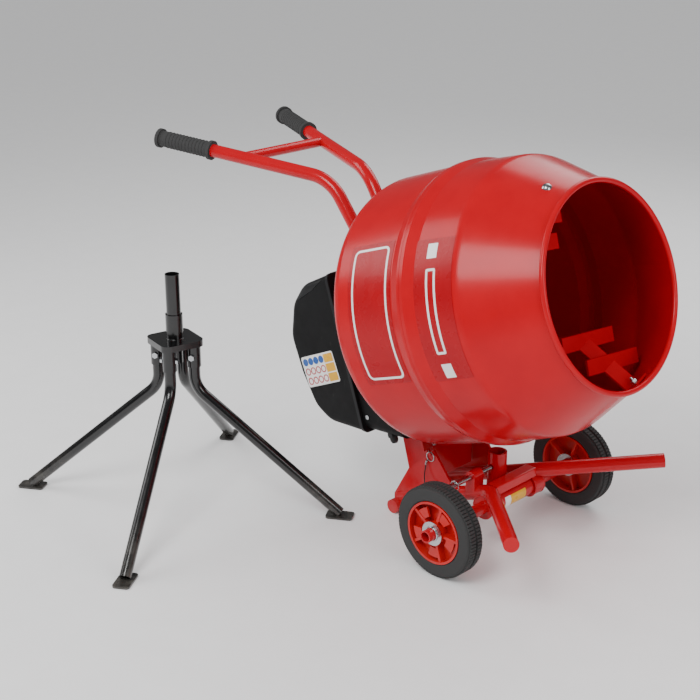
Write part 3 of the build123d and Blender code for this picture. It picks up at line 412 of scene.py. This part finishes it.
def finish_piece(obj: Piece, name: str, finish: Finish, body: str,
                 replaces: Iterable[str] = (), smooth: float = 35) -> Piece:
    """Settles a piece's mesh in place, gives it its finish and says what it rides on.

    Args:
        obj: the modelled mesh object.
        name: the piece's name.
        finish: its material.
        body: the CAD body that it moves with.
        replaces: CAD nodes that it stands for.
        smooth: edges flatter than this many degrees are smoothed.

    Returns:
        The same object.
    """
    deselect_all()
    obj.select_set(True)
    bpy.context.view_layer.objects.active = obj
    obj.name = name
    obj.data.name = name
    bpy.ops.object.transform_apply(location=True, rotation=True, scale=True)
    bpy.ops.object.shade_smooth_by_angle(angle=math.radians(smooth))
    obj.data.materials.clear()
    obj.data.materials.append(finish.material())
    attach(obj, body)
    if replaces:
        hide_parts(*replaces)
    LOG.info("%s rides on %s", name, body)
    return obj


def node_box(node: str) -> tuple[Vector, Vector]:
    """The low and the high corner of a CAD node's box, in metres."""
    low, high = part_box(node)
    return Vector(low), Vector(high)


def turn_to(axis: Vector) -> tuple[float, float, float]:
    """The Euler turn that lays a primitive's Z axis along an axis."""
    return tuple(axis.to_track_quat("Z", "Y").to_euler())


# ---------------------------------------------------------------- places


@dataclass
class MixerFrame:
    """Places on the mixer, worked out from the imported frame's record."""

    record: dict
    origin: Vector = field(init=False)
    drum_centre: Vector = field(init=False)
    drum_axis: Vector = field(init=False)

    def __post_init__(self) -> None:
        """Reads the axle's middle and the drum's axis."""
        low, high = node_box("axle_tube")
        middle = (low + high) / 2
        self.origin = Vector((middle.x, middle.y, 0))
        self.drum_axis, self.drum_centre = self.joint("drum_spin")

    def joint(self, name: str) -> tuple[Vector, Vector]:
        """A joint's axis and point."""
        for row in self.record["behaviour"]["joints"]:
            if row["name"] == name:
                return Vector(row["axis"]).normalized(), Vector(row["pos_m"])
        raise KeyError(name)

    def at(self, x: float, y: float, z: float) -> Vector:
        """A point in millimetres from the ground under the axle's middle."""
        return self.origin + Vector((x, y, z)) * MM

    def round_drum(self, along: float, angle: float, radius: float) -> Vector:
        """A point round the drum's axis.

        Args:
            along: millimetres towards the mouth from the drum's middle.
            angle: degrees from straight up towards the left side.
            radius: millimetres from the axis.

        Returns:
            The point in metres.
        """
        side = Vector((0, 1, 0))
        up = self.drum_axis.cross(side)
        turn = math.radians(angle)
        out = side * math.sin(turn) + up * math.cos(turn)
        return self.drum_centre + self.drum_axis * along * MM + out * radius * MM

    def in_drum(self, along: float, across: float, up: float) -> Vector:
        """A point given along, across and up in the tilted frame of the drum, in millimetres."""
        return self.round_drum(along, math.degrees(math.atan2(across, up)), math.hypot(across, up))


# ---------------------------------------------------------------- the sub-assemblies


@dataclass(frozen=True)
class DrumMark:
    """One printed panel of the drum: its place along and round it, in millimetres and degrees."""

    name: str
    along: tuple[float, float]
    angles: tuple[float, float]
    finish: Finish
    corner: float
    outline: bool = False
    on_film: bool = True


DRUM_MARKS = (
    DrumMark("drum_film", (-158, -36), (-52, -109), DARK_RED_VINYL, 3.0, on_film=False),
    DrumMark("drum_outline", (-147, -46), (-54, -107), WHITE_VINYL, 13.0, outline=True),
    DrumMark("drum_shade", (28, 122), (-54, -110), DARK_RED_VINYL, 3.0, on_film=False),
    DrumMark("drum_bar_middle", (58, 82), (-66, -99), WHITE_VINYL, 4.0, outline=True),
    DrumMark("drum_bar_top", (58, 82), (-56, -62), WHITE_VINYL, 1.0),
    DrumMark("drum_bar_bottom", (58, 82), (-103, -109), WHITE_VINYL, 1.0))


@dataclass
class DrumMarks:
    """Plain stripes and panels printed on the drum, the same on both sides of it."""

    places: MixerFrame
    barrel_radius: float = 293.5
    cone_start: tuple[float, float] = (30.0, 291.5)
    shoulder: tuple[float, float] = (128.0, 285.0)
    lift: float = 0.35
    film: float = 0.2
    line: float = 5.0
    slice_step: float = 10.0
    joint_ends: float = -32.0

    def skin(self, along: float) -> float:
        """The drum's outer radius at a place along it.

        Args:
            along: millimetres towards the mouth from the drum's middle.

        Returns:
            The radius in millimetres.
        """
        if along < self.joint_ends:
            return self.barrel_radius
        share = (along - self.cone_start[0]) / (self.shoulder[0] - self.cone_start[0])
        return self.cone_start[1] + (self.shoulder[1] - self.cone_start[1]) * share

    def flat_panel(self, along: tuple[float, float], arc: float, outline: bool,
                   corner: float) -> Piece:
        """A flat panel with rounded corners, cut across into narrow slices.

        Args:
            along: where it starts and ends along the drum.
            arc: its length round the drum.
            outline: whether only its border is kept.
            corner: the corners' radius.

        Returns:
            The flat mesh, in metres, with X along the drum and Y round it.
        """
        deselect_all()
        bpy.ops.mesh.primitive_plane_add(size=1, location=(0, 0, 0))
        panel = bpy.context.object
        panel.scale = ((along[1] - along[0]) * MM, arc * MM, 1)
        bpy.ops.object.transform_apply(location=True, rotation=True, scale=True)
        bpy.ops.object.mode_set(mode="EDIT")
        bpy.ops.mesh.select_all(action="SELECT")
        bpy.ops.mesh.bevel(offset=corner * MM, segments=5, affect="VERTICES")
        bpy.ops.mesh.select_all(action="SELECT")
        if outline:
            bpy.ops.mesh.inset(thickness=self.line * MM, depth=0)
            bpy.ops.mesh.delete(type="FACE")
        for index in range(1, int(arc / self.slice_step)):
            across = (index * self.slice_step - arc / 2) * MM
            bpy.ops.mesh.select_all(action="SELECT")
            bpy.ops.mesh.bisect(plane_co=(0, across, 0), plane_no=(0, 1, 0))
        bpy.ops.object.mode_set(mode="OBJECT")
        return panel

    def wrapped(self, mark: DrumMark, side: str, turn: float) -> Piece:
        """Wraps a panel round the drum and gives it the thickness of its film.

        Args:
            mark: what is printed.
            side: the side of the drum, for the piece's name.
            turn: degrees by which the panel is turned round the drum.

        Returns:
            The finished piece.
        """
        name = f"{mark.name}_{side}"
        middle = (mark.along[0] + mark.along[1]) / 2
        centre = (mark.angles[0] + mark.angles[1]) / 2 + turn
        arc = math.radians(abs(mark.angles[1] - mark.angles[0])) * self.skin(middle)
        extra = self.lift if mark.on_film else 0.0
        panel = self.flat_panel(mark.along, arc, mark.outline, mark.corner)
        for vertex in panel.data.vertices:
            place = middle + vertex.co.x / MM
            angle = centre + math.degrees(vertex.co.y / MM / self.skin(middle))
            vertex.co = self.places.round_drum(place, angle, self.skin(place) + self.lift + extra)
        self.face_outwards(panel)
        wall = panel.modifiers.new("film", "SOLIDIFY")
        wall.thickness = self.film * MM
        wall.offset = 1
        apply_modifiers(panel)
        return finish_piece(panel, name, mark.finish, "drum")

    def face_outwards(self, panel: Piece) -> None:
        """Turns the sheet's faces away from the drum's axis.

        Args:
            panel: the wrapped sheet.
        """
        first = panel.data.polygons[0]
        out = first.center - self.places.drum_centre
        out -= self.places.drum_axis * out.dot(self.places.drum_axis)
        if first.normal.dot(out) < 0:
            panel.data.flip_normals()

    def build(self) -> None:
        """Makes the marks on both sides."""
        for side, turn in (("right", 0.0), ("left", 180.0)):
            for mark in DRUM_MARKS:
                self.wrapped(mark, side, turn)


@dataclass
class Wheel:
    """A solid rubber tyre with two rows of small tread blocks."""

    side: str
    segments: int = 84
    seat_radius: float = 68.2
    tread_depth: float = 4.0
    groove_half: float = 2.2
    row_half: float = 17.5
    shoulder: float = 4.6
    block_slope: float = 0.8
    wall_cuts: tuple[float, float] = (0.35, 0.62)

    def section(self, middle: Vector, width: float, radius: float) -> Piece:
        """The tyre's section, a plane from seat to tread with rounded shoulders.

        Args:
            middle: the wheel's middle, in metres.
            width: the tyre's width in metres.
            radius: the outer radius in metres.

        Returns:
            The section's object, with its face removed.
        """
        depth = radius - self.tread_depth * MM - self.seat_radius * MM
        deselect_all()
        bpy.ops.mesh.primitive_plane_add(size=1, location=(0, 0, 0))
        profile = bpy.context.object
        profile.scale = (width, depth, 1)
        profile.rotation_euler = (math.radians(90), 0, math.radians(90))
        profile.location = middle + Vector((0, 0, self.seat_radius * MM + depth / 2))
        bpy.ops.object.transform_apply(location=True, rotation=True, scale=True)
        bpy.ops.object.mode_set(mode="EDIT")
        bpy.ops.mesh.select_all(action="SELECT")
        bpy.ops.mesh.bevel(offset=self.shoulder * MM, segments=4, affect="VERTICES")
        for cut in (-self.row_half, -self.groove_half, 0, self.groove_half, self.row_half):
            bpy.ops.mesh.select_all(action="SELECT")
            bpy.ops.mesh.bisect(plane_co=middle + Vector((0, cut * MM, 0)), plane_no=(0, 1, 0))
        for height in self.wall_cuts:
            bpy.ops.mesh.select_all(action="SELECT")
            level = middle + Vector((0, 0, self.seat_radius * MM + depth * height))
            bpy.ops.mesh.bisect(plane_co=level, plane_no=(0, 0, 1))
        bpy.ops.mesh.select_all(action="SELECT")
        bpy.ops.mesh.delete(type="ONLY_FACE")
        bpy.ops.object.mode_set(mode="OBJECT")
        return profile

    def keep_outline(self, profile: Piece, middle: Vector) -> None:
        """Deletes the edges that cross the section, so that only its outline is spun.

        Args:
            profile: the section's object.
            middle: the wheel's middle, in metres.
        """
        low, high = node_box("tyre_" + self.side)
        half = (high.y - low.y) / 2
        top = max(vertex.co.z for vertex in profile.data.vertices)
        floor = min(vertex.co.z for vertex in profile.data.vertices)
        bpy.ops.object.mode_set(mode="EDIT")
        bpy.ops.mesh.select_mode(type="EDGE")
        bpy.ops.mesh.select_all(action="DESELECT")
        bpy.ops.object.mode_set(mode="OBJECT")
        tiny = 0.02 * MM
        round_part = (self.shoulder + 0.1) * MM
        for edge in profile.data.edges:
            one, two = (profile.data.vertices[index].co for index in edge.vertices)
            centre = (one + two) / 2
            on_side = abs(abs(centre.y - middle.y) - half) < tiny
            on_end = abs(centre.z - top) < tiny or abs(centre.z - floor) < tiny
            corner = abs(centre.y - middle.y) > half - round_part and (
                centre.z > top - round_part or centre.z < floor + round_part)
            straight = abs(one.y - two.y) < tiny or abs(one.z - two.z) < tiny
            edge.select = not (on_side or on_end or (corner and not straight))
        bpy.ops.object.mode_set(mode="EDIT")
        bpy.ops.mesh.delete(type="EDGE")
        bpy.ops.object.mode_set(mode="OBJECT")

    def build(self) -> None:
        """Spins the section round the axle and raises the tread blocks."""
        low, high = node_box("tyre_" + self.side)
        middle = (low + high) / 2
        radius = (high.z - low.z) / 2
        tyre = self.section(middle, high.y - low.y, radius)
        self.keep_outline(tyre, middle)
        bpy.ops.object.mode_set(mode="EDIT")
        bpy.ops.mesh.select_all(action="SELECT")
        bpy.ops.mesh.spin(steps=self.segments, angle=math.tau, center=middle, axis=(0, 1, 0))
        bpy.ops.mesh.select_all(action="SELECT")
        bpy.ops.mesh.remove_doubles(threshold=0.05 * MM)
        bpy.ops.mesh.normals_make_consistent(inside=False)
        bpy.ops.object.mode_set(mode="OBJECT")
        base = radius - self.tread_depth * MM

        def on_tread(centre: Vector, normal: Vector) -> bool:
            """Whether a face lies in one of the two rows of blocks."""
            out = math.hypot(centre.x - middle.x, centre.z - middle.z)
            across = abs(centre.y - middle.y) / MM
            return out > base - 0.5 * MM and self.groove_half < across < self.row_half

        pick_faces(tyre, on_tread)
        bpy.ops.mesh.inset(thickness=self.block_slope * MM, depth=self.tread_depth * MM,
                           use_individual=True)
        bpy.ops.object.mode_set(mode="OBJECT")
        for vertex in tyre.data.vertices:
            flat = Vector((vertex.co.x - middle.x, 0, vertex.co.z - middle.z))
            if flat.length > radius:
                flat.length = radius
                vertex.co = Vector((middle.x + flat.x, vertex.co.y, middle.z + flat.z))
        finish_piece(tyre, "solid_tyre_" + self.side, TYRE_RUBBER, "wheel_" + self.side,
                     ["tyre_" + self.side], smooth=28)


@dataclass
class HandleGrips:
    """Raised ribs round the rubber grips at the handles' ends."""

    places: MixerFrame
    end: tuple[float, float, float] = (-920.0, 196.0, 772.0)
    knee: tuple[float, float, float] = (-492.0, 58.0, 723.0)
    grip_radius: float = 18.5
    first: float = 24.0
    pitch: float = 9.0
    count: int = 12
    rib: float = 1.1

    def build(self) -> None:
        """Makes one rib and copies it along each grip."""
        for side, name in ((-1, "right"), (1, "left")):
            tip = self.places.at(self.end[0], side * self.end[1], self.end[2])
            knee = self.places.at(self.knee[0], side * self.knee[1], self.knee[2])
            axis = (knee - tip).normalized()
            ribs = []
            for index in range(self.count):
                deselect_all()
                place = tip + axis * (self.first + self.pitch * index) * MM
                bpy.ops.mesh.primitive_torus_add(
                    location=place, rotation=turn_to(axis), major_radius=self.grip_radius * MM,
                    minor_radius=self.rib * MM, major_segments=40, minor_segments=8)
                ribs.append(bpy.context.object)
            finish_piece(join_pieces(ribs), "grip_ribs_" + name, GRIP_RUBBER, "chassis",
                         smooth=60)


@dataclass
class CoverMarks:
    """The plain panel on the right side of the motor cover."""

    places: MixerFrame
    centre: tuple[float, float] = (-436.5, -77.5)
    size: tuple[float, float] = (109.0, 71.0)
    turn: float = 5.0
    side: float = -158.0
    lift: float = 0.3
    film: float = 0.25
    row_pitch: float = 22.0
    dot: float = 18.0
    field_place: float = 36.5
    field: tuple[float, float] = (30.0, 19.0)

    def panel(self, name: str, middle: tuple[float, float], size: tuple[float, float], lift: float,
              finish: Finish, corner: float = 3.0, ring: float = 0.0) -> None:
        """One flat printed sheet on the cover's side.

        Args:
            name: the piece's name.
            middle: its middle, along and up from the middle of the whole panel.
            size: its length along and its height.
            lift: how far it stands off the cover.
            finish: its vinyl.
            corner: its corners' radius.
            ring: the width of its border, where only that is kept.
        """
        deselect_all()
        bpy.ops.mesh.primitive_plane_add(size=1, location=(0, 0, 0))
        sheet = bpy.context.object
        sheet.scale = (size[0] * MM, size[1] * MM, 1)
        bpy.ops.object.transform_apply(location=True, rotation=True, scale=True)
        bpy.ops.object.mode_set(mode="EDIT")
        bpy.ops.mesh.select_all(action="SELECT")
        bpy.ops.mesh.bevel(offset=corner * MM, segments=4, affect="VERTICES")
        bpy.ops.mesh.select_all(action="SELECT")
        if ring:
            bpy.ops.mesh.inset(thickness=ring * MM, depth=0)
            bpy.ops.mesh.delete(type="FACE")
            bpy.ops.mesh.select_all(action="SELECT")
        bpy.ops.mesh.extrude_region_move(TRANSFORM_OT_translate={"value": (0, 0, self.film * MM)})
        bpy.ops.object.mode_set(mode="OBJECT")
        sine, cosine = math.sin(math.radians(self.turn)), math.cos(math.radians(self.turn))
        for vertex in sheet.data.vertices:
            right, above = middle[0] + vertex.co.x / MM, middle[1] + vertex.co.y / MM
            along = self.centre[0] + right * cosine - above * sine
            up = self.centre[1] + right * sine + above * cosine
            vertex.co = self.places.in_drum(along, self.side - lift - vertex.co.z / MM, up)
        bpy.ops.object.mode_set(mode="EDIT")
        bpy.ops.mesh.select_all(action="SELECT")
        bpy.ops.mesh.normals_make_consistent(inside=False)
        bpy.ops.object.mode_set(mode="OBJECT")
        finish_piece(sheet, name, finish, "chassis")

    def build(self) -> None:
        """Makes the white sheet and its plain coloured fields."""
        self.panel("cover_panel", (0, 0), self.size, self.lift, WHITE_VINYL, corner=5.0)
        above = self.lift + self.film + 0.1
        first = self.field_place - (self.field[0] + self.dot) / 2 - 3 * self.dot - 1
        disc = (self.dot - 1.0, self.dot - 1.0)
        for row in range(3):
            level = self.row_pitch * (1 - row)
            self.panel(f"cover_panel_field_{row + 1}", (self.field_place, level), self.field, above,
                       YELLOW_VINYL, corner=1.5)
            for column in range(4):
                finish, ring = (PALE_RED_VINYL, 2.6) if row else (BLUE_VINYL, 0.0)
                self.panel(f"cover_panel_dot_{row + 1}_{column + 1}", (first + self.dot * column, level),
                           disc, above, finish, corner=disc[0] / 2 - 0.3, ring=ring)


@dataclass
class CoverRim:
    """The raised lip round the open front of the motor cover."""

    places: MixerFrame
    front: float = -342.0
    depth: float = 9.0
    proud: float = 1.6

    def build(self) -> None:
        """Copies the cover's front band, keeps its outer skin and thickens it."""
        deselect_all()
        source = bpy.data.objects["motor_cover"]
        band = bpy.data.objects.new("cover_rim", source.data.copy())
        bpy.context.scene.collection.objects.link(band)
        band.select_set(True)
        bpy.context.view_layer.objects.active = band
        axis = self.places.drum_axis
        bpy.ops.object.mode_set(mode="EDIT")
        bpy.ops.mesh.select_all(action="SELECT")
        bpy.ops.mesh.remove_doubles(threshold=0.01 * MM)
        for along, clear_inner in ((self.front - self.depth, True), (self.front - 0.6, False)):
            bpy.ops.mesh.select_all(action="SELECT")
            bpy.ops.mesh.bisect(plane_co=self.places.in_drum(along, 0, 1), plane_no=axis,
                                clear_inner=clear_inner, clear_outer=not clear_inner)
        bpy.ops.object.mode_set(mode="OBJECT")
        middle = self.places.in_drum(self.front, 0, -50)

        def inner_skin(centre: Vector, normal: Vector) -> bool:
            """Whether a face looks inwards or along the drum's axis."""
            out = centre - middle
            out -= axis * out.dot(axis)
            return normal.dot(out) < 0 or abs(normal.dot(axis)) > 0.8

        pick_faces(band, inner_skin)
        bpy.ops.mesh.delete(type="FACE")
        bpy.ops.object.mode_set(mode="OBJECT")
        wall = band.modifiers.new("lip", "SOLIDIFY")
        wall.thickness = self.proud * MM
        wall.offset = 1
        wall.use_even_offset = True
        apply_modifiers(band)
        # The rim takes the lid's ABS, whose base colour is painted lighter as a painted highlight.
        finish_piece(band, "cover_rim", LID_ABS_PAINTED_LIGHT, "chassis")


@dataclass
class HubPads:
    """Moulded pads between the spokes of a wheel hub."""

    side: str
    count: int = 5
    inner: float = 34.0
    outer: float = 55.0
    sink: float = 9.0
    raise_by: float = 5.0
    half_angle: float = 14.0
    start_angle: float = 18.0
    cuts: int = 4
    edge: float = 0.06

    def build(self) -> None:
        """Makes one pad and copies it round the hub, on its outer side."""
        low, high = node_box("wheel_hub_" + self.side)
        middle = (low + high) / 2
        out = 1 if self.side == "left" else -1
        face = high.y if out > 0 else low.y
        pads = []
        for index in range(self.count):
            deselect_all()
            bpy.ops.mesh.primitive_plane_add(size=1, location=(0, 0, 0))
            pad = bpy.context.object
            bpy.ops.object.mode_set(mode="EDIT")
            bpy.ops.mesh.select_all(action="SELECT")
            bpy.ops.mesh.subdivide(number_cuts=self.cuts)
            bpy.ops.mesh.select_all(action="SELECT")
            bpy.ops.mesh.extrude_region_move(TRANSFORM_OT_translate={"value": (0, 0, 1)})
            bpy.ops.mesh.inset(thickness=self.edge)
            bpy.ops.object.mode_set(mode="OBJECT")
            turn = math.tau * (index + 0.5) / self.count + math.radians(self.start_angle)
            for vertex in pad.data.vertices:
                angle = turn + 2 * vertex.co.x * math.radians(self.half_angle)
                radius = self.inner + (self.outer - self.inner) * (vertex.co.y + 0.5)
                level = -self.sink + vertex.co.z * self.raise_by
                vertex.co = Vector((middle.x + radius * MM * math.cos(angle), face + out * level * MM,
                                    middle.z + radius * MM * math.sin(angle)))
            bpy.ops.object.mode_set(mode="EDIT")
            bpy.ops.mesh.select_all(action="SELECT")
            bpy.ops.mesh.normals_make_consistent(inside=False)
            bpy.ops.object.mode_set(mode="OBJECT")
            pads.append(pad)
        finish_piece(join_pieces(pads), "hub_pads_" + self.side, HUB_PLASTIC, "wheel_" + self.side,
                     smooth=20)


@dataclass
class WeldSeams:
    """Rippled weld beads round the tubes of the frame and the stand."""

    places: MixerFrame
    bead: float = 1.7
    ripples: int = 26
    swell: float = 0.006
    axle_height: float = 100.0
    lug_middle: float = 75.0
    lug_half: float = 15.5
    lug_radius: float = 25.4

    def ring(self, centre: Vector, axis: Vector, radius: float) -> Piece:
        """One bead round a tube.

        Args:
            centre: the middle of the ring, in metres.
            axis: the tube's direction.
            radius: the tube's radius in millimetres.

        Returns:
            The bead's mesh object.
        """
        deselect_all()
        bpy.ops.mesh.primitive_torus_add(
            location=centre, rotation=turn_to(axis), major_radius=radius * MM,
            minor_radius=self.bead * MM, major_segments=104, minor_segments=8)
        seam = bpy.context.object
        for vertex in seam.data.vertices:
            angle = math.atan2(vertex.co.y, vertex.co.x)
            swell = 1 + self.swell * math.sin(self.ripples * angle)
            vertex.co = Vector((vertex.co.x * swell, vertex.co.y * swell, vertex.co.z))
        return seam

    def build(self) -> None:
        """Makes the beads of the frame's lugs and of the stand's post."""
        seams = []
        for side in (-1, 1):
            for step in (-self.lug_half, self.lug_half):
                place = self.places.at(0, side * self.lug_middle + step, self.axle_height)
                seams.append(self.ring(place, Vector((0, 1, 0)), self.lug_radius))
        finish_piece(join_pieces(seams), "lug_welds", RED_ENAMEL, "chassis", smooth=60)
        low, high = node_box("stand_post")
        plate_top = node_box("stand_bracket")[1].z
        middle = (low + high) / 2
        radius = (high.x - low.x) / 2 / MM
        post = self.ring(Vector((middle.x, middle.y, plate_top)), Vector((0, 0, 1)), radius)
        finish_piece(post, "post_weld", BLACK_ENAMEL, "ground_stand", smooth=60)


@dataclass
class SleeveMarks:
    """Plain printed films wrapped round the front of the tilting sleeve."""

    places: MixerFrame
    sleeve_radius: float = 21.2
    axle_height: float = 100.0
    lift: float = 0.25
    film: float = 0.2
    slices: int = 8
    angles: tuple[float, float] = (-40.0, 32.0)
    white_across: tuple[float, float] = (-40.0, -21.0)
    yellow_across: tuple[float, float] = (-20.5, 30.0)

    def wrap(self, name: str, across: tuple[float, float], finish: Finish) -> None:
        """One film round part of the sleeve.

        Args:
            name: the piece's name.
            across: where it starts and ends along the sleeve.
            finish: its vinyl.
        """
        deselect_all()
        bpy.ops.mesh.primitive_plane_add(size=1, location=(0, 0, 0))
        sheet = bpy.context.object
        bpy.ops.object.mode_set(mode="EDIT")
        bpy.ops.mesh.select_all(action="SELECT")
        bpy.ops.mesh.bevel(offset=0.04, segments=3, affect="VERTICES")
        for index in range(1, self.slices):
            bpy.ops.mesh.select_all(action="SELECT")
            bpy.ops.mesh.bisect(plane_co=(0, index / self.slices - 0.5, 0), plane_no=(0, 1, 0))
        bpy.ops.object.mode_set(mode="OBJECT")
        radius = self.sleeve_radius + self.lift
        for vertex in sheet.data.vertices:
            along = across[0] + (across[1] - across[0]) * (vertex.co.x + 0.5)
            share = vertex.co.y + 0.5
            turn = math.radians(self.angles[0] + (self.angles[1] - self.angles[0]) * share)
            vertex.co = self.places.at(radius * math.cos(turn), along,
                                       self.axle_height + radius * math.sin(turn))
        if sheet.data.polygons[0].normal.x < 0:
            sheet.data.flip_normals()
        wall = sheet.modifiers.new("film", "SOLIDIFY")
        wall.thickness = self.film * MM
        wall.offset = 1
        apply_modifiers(sheet)
        finish_piece(sheet, name, finish, "tilting_head")

    def build(self) -> None:
        """Makes the white and the yellow film."""
        self.wrap("sleeve_film_white", self.white_across, WHITE_VINYL)
        self.wrap("sleeve_film_yellow", self.yellow_across, YELLOW_VINYL)


@dataclass
class Lanyard:
    """The jacketed wire that keeps the locking pin, with its crimp sleeves."""

    places: MixerFrame
    route: tuple[tuple[float, float, float], ...] = (
        (-166.1, -84, 155.1), (-167, -90, 134), (-163, -96, 110), (-148, -106, 90), (-122, -117, 79),
        (-92, -127, 79), (-64, -135, 90), (-45, -139, 112), (-38, -140, 142.2))
    diameter: float = 2.5
    length: float = 224.6
    crimp_radius: float = 2.4
    crimp_length: float = 9.0
    crimp_from_end: float = 7.5

    def build(self) -> None:
        """Lays the wire on a smooth spline and adds a crimp near each end."""
        curve = bpy.data.curves.new("lanyard_wire", "CURVE")
        curve.dimensions = "3D"
        spline = curve.splines.new("NURBS")
        spline.points.add(len(self.route) - 1)
        for point, place in zip(spline.points, self.route):
            point.co = (*self.places.at(*place), 1)
        spline.order_u = 3
        spline.use_endpoint_u = True
        spline.resolution_u = 12
        curve.bevel_depth = self.diameter / 2 * MM
        curve.bevel_resolution = 4
        curve.use_fill_caps = True
        wire = bpy.data.objects.new("lanyard_wire", curve)
        bpy.context.scene.collection.objects.link(wire)
        curve.materials.append(WIRE_JACKET.material())
        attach(wire, "chassis")
        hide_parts("lanyard")
        crimps = [self.crimp("lanyard_crimp_upper", self.route[0], self.route[1]),
                  self.crimp("lanyard_crimp_lower", self.route[-1], self.route[-2])]
        tuple(self.places.at(*self.route[0]))
        LOG.info("lanyard wire laid through %d points", len(self.route))

    def crimp(self, name: str, start: Sequence[float], towards: Sequence[float]) -> Piece:
        """A pressed metal sleeve round the wire near one end.

        Args:
            name: the piece's name.
            start: the wire's end.
            towards: the next point of its route.

        Returns:
            The sleeve.
        """
        one, two = self.places.at(*start), self.places.at(*towards)
        axis = (two - one).normalized()
        deselect_all()
        bpy.ops.mesh.primitive_cylinder_add(
            vertices=24, radius=self.crimp_radius * MM, depth=self.crimp_length * MM,
            location=one + axis * self.crimp_from_end * MM, rotation=turn_to(axis))
        sleeve = bpy.context.object
        pick_faces(sleeve, lambda centre, normal: abs(normal.z) > 0.9)
        bpy.ops.mesh.inset(thickness=0.5 * MM, depth=0.3 * MM, use_individual=True)
        bpy.ops.object.mode_set(mode="OBJECT")
        return finish_piece(sleeve, name, ZINC_PLATE, "chassis")


@dataclass(frozen=True)
class SoftLamp:
    """A square soft lamp: its place in millimetres from under the axle, watts and side in metres."""

    name: str
    place: tuple[float, float, float]
    power: float
    size: float


SOFT_LAMPS = (
    SoftLamp("key_lamp", (300, -2300, 2600), 60, 1.3),
    SoftLamp("side_lamp", (-2300, -1300, 1800), 26, 1.4),
    SoftLamp("mouth_lamp", (2300, -300, 1500), 18, 1.2),
    SoftLamp("back_lamp", (-600, 2300, 2400), 36, 1.8))


@dataclass
class Studio:
    """The pale floor, the soft lamps and the camera."""

    places: MixerFrame
    eye: tuple[float, float, float] = (1603.0, -2099.0, 1428.0)
    target: tuple[float, float, float] = (-240.9, -248.9, 436.0)
    lit: tuple[float, float, float] = (-150.0, 0.0, 400.0)
    lens: float = 69.2
    sensor: float = 36.0
    sky_strength: float = 0.72
    sky_in_gloss: float = 0.16

    def floor(self) -> None:
        """A wide flat floor of pale matte paper, just under the wheels."""
        deselect_all()
        bpy.ops.mesh.primitive_plane_add(size=60, location=(0, 0, -0.5 * MM))
        floor = bpy.context.object
        floor.name = "studio_floor"
        paper = Finish("studio_paper", "#F1F1F1", "#EFEFEF", Texture.PRINTED, 0.85, 0.03, 4.0, 0.02)
        floor.data.materials.append(paper.material())

    def lamp(self, row: SoftLamp) -> None:
        """Hangs one lamp, aimed at the mixer's middle.

        Args:
            row: its name, place, power and size.
        """
        light = bpy.data.lights.new(row.name, "AREA")
        light.energy = row.power
        light.shape = "SQUARE"
        light.size = row.size
        lamp = bpy.data.objects.new(row.name, light)
        lamp.location = self.places.at(*row.place)
        aim = self.places.at(*self.lit) - lamp.location
        lamp.rotation_euler = aim.to_track_quat("-Z", "Y").to_euler()
        bpy.context.scene.collection.objects.link(lamp)

    def sky(self) -> None:
        """Even pale light from all round, dim where gloss mirrors it, as in a room with soft boxes."""
        world = bpy.data.worlds.new("studio_sky")
        bpy.context.scene.world = world
        world.use_nodes = True
        tree = world.node_tree
        tree.nodes.clear()
        glossy = add_node(tree, "ShaderNodeLightPath").outputs["Is Glossy Ray"]
        strength = add_node(tree, "ShaderNodeMapRange", {
            "Value": glossy, "To Min": self.sky_strength, "To Max": self.sky_in_gloss})
        light = add_node(tree, "ShaderNodeBackground", {
            "Color": linear("#F7F7F8"), "Strength": strength.outputs["Result"]})
        add_node(tree, "ShaderNodeOutputWorld", {"Surface": light.outputs["Background"]})

    def camera(self) -> None:
        """The camera, held level and on a long lens, a little above the drum."""
        data = bpy.data.cameras.new("studio_camera")
        data.lens = self.lens
        data.sensor_width = self.sensor
        data.clip_end = 50
        camera = bpy.data.objects.new("studio_camera", data)
        camera.location = self.places.at(*self.eye)
        aim = self.places.at(*self.target) - camera.location
        camera.rotation_euler = aim.to_track_quat("-Z", "Y").to_euler()
        bpy.context.scene.collection.objects.link(camera)
        bpy.context.scene.camera = camera

    def build(self) -> None:
        """Sets up the whole studio."""
        self.camera()
        self.floor()
        self.sky()
        for row in SOFT_LAMPS:
            self.lamp(row)


def dress_nodes(record: dict) -> None:
    """Gives every CAD node its finish: red enamel unless another is named.

    Args:
        record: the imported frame's record, which lists the nodes.
    """
    named = {node: finish for finish, nodes in NODE_FINISHES for node in nodes}
    for row in record["subparts"]:
        obj = bpy.data.objects[row["node"]]
        finish = named.get(row["node"], RED_ENAMEL)
        obj.data.materials.clear()
        obj.data.materials.append(finish.material())
    LOG.info("dressed %d nodes", len(record["subparts"]))


def main(record: dict) -> None:
    """Builds the looks piece by piece.

    Args:
        record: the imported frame's record.
    """
    places = MixerFrame(record)
    Studio(places).build()
    dress_nodes(record)
    Lanyard(places).build()
    DrumMarks(places).build()
    for side in ("right", "left"):
        Wheel(side).build()
        HubPads(side).build()
    HandleGrips(places).build()
    CoverMarks(places).build()
    CoverRim(places).build()
    WeldSeams(places).build()
    SleeveMarks(places).build()


if __name__ == "__main__":
    logging.basicConfig(level=logging.INFO, format="%(name)s: %(message)s")
    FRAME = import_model()
    main(FRAME["record"])
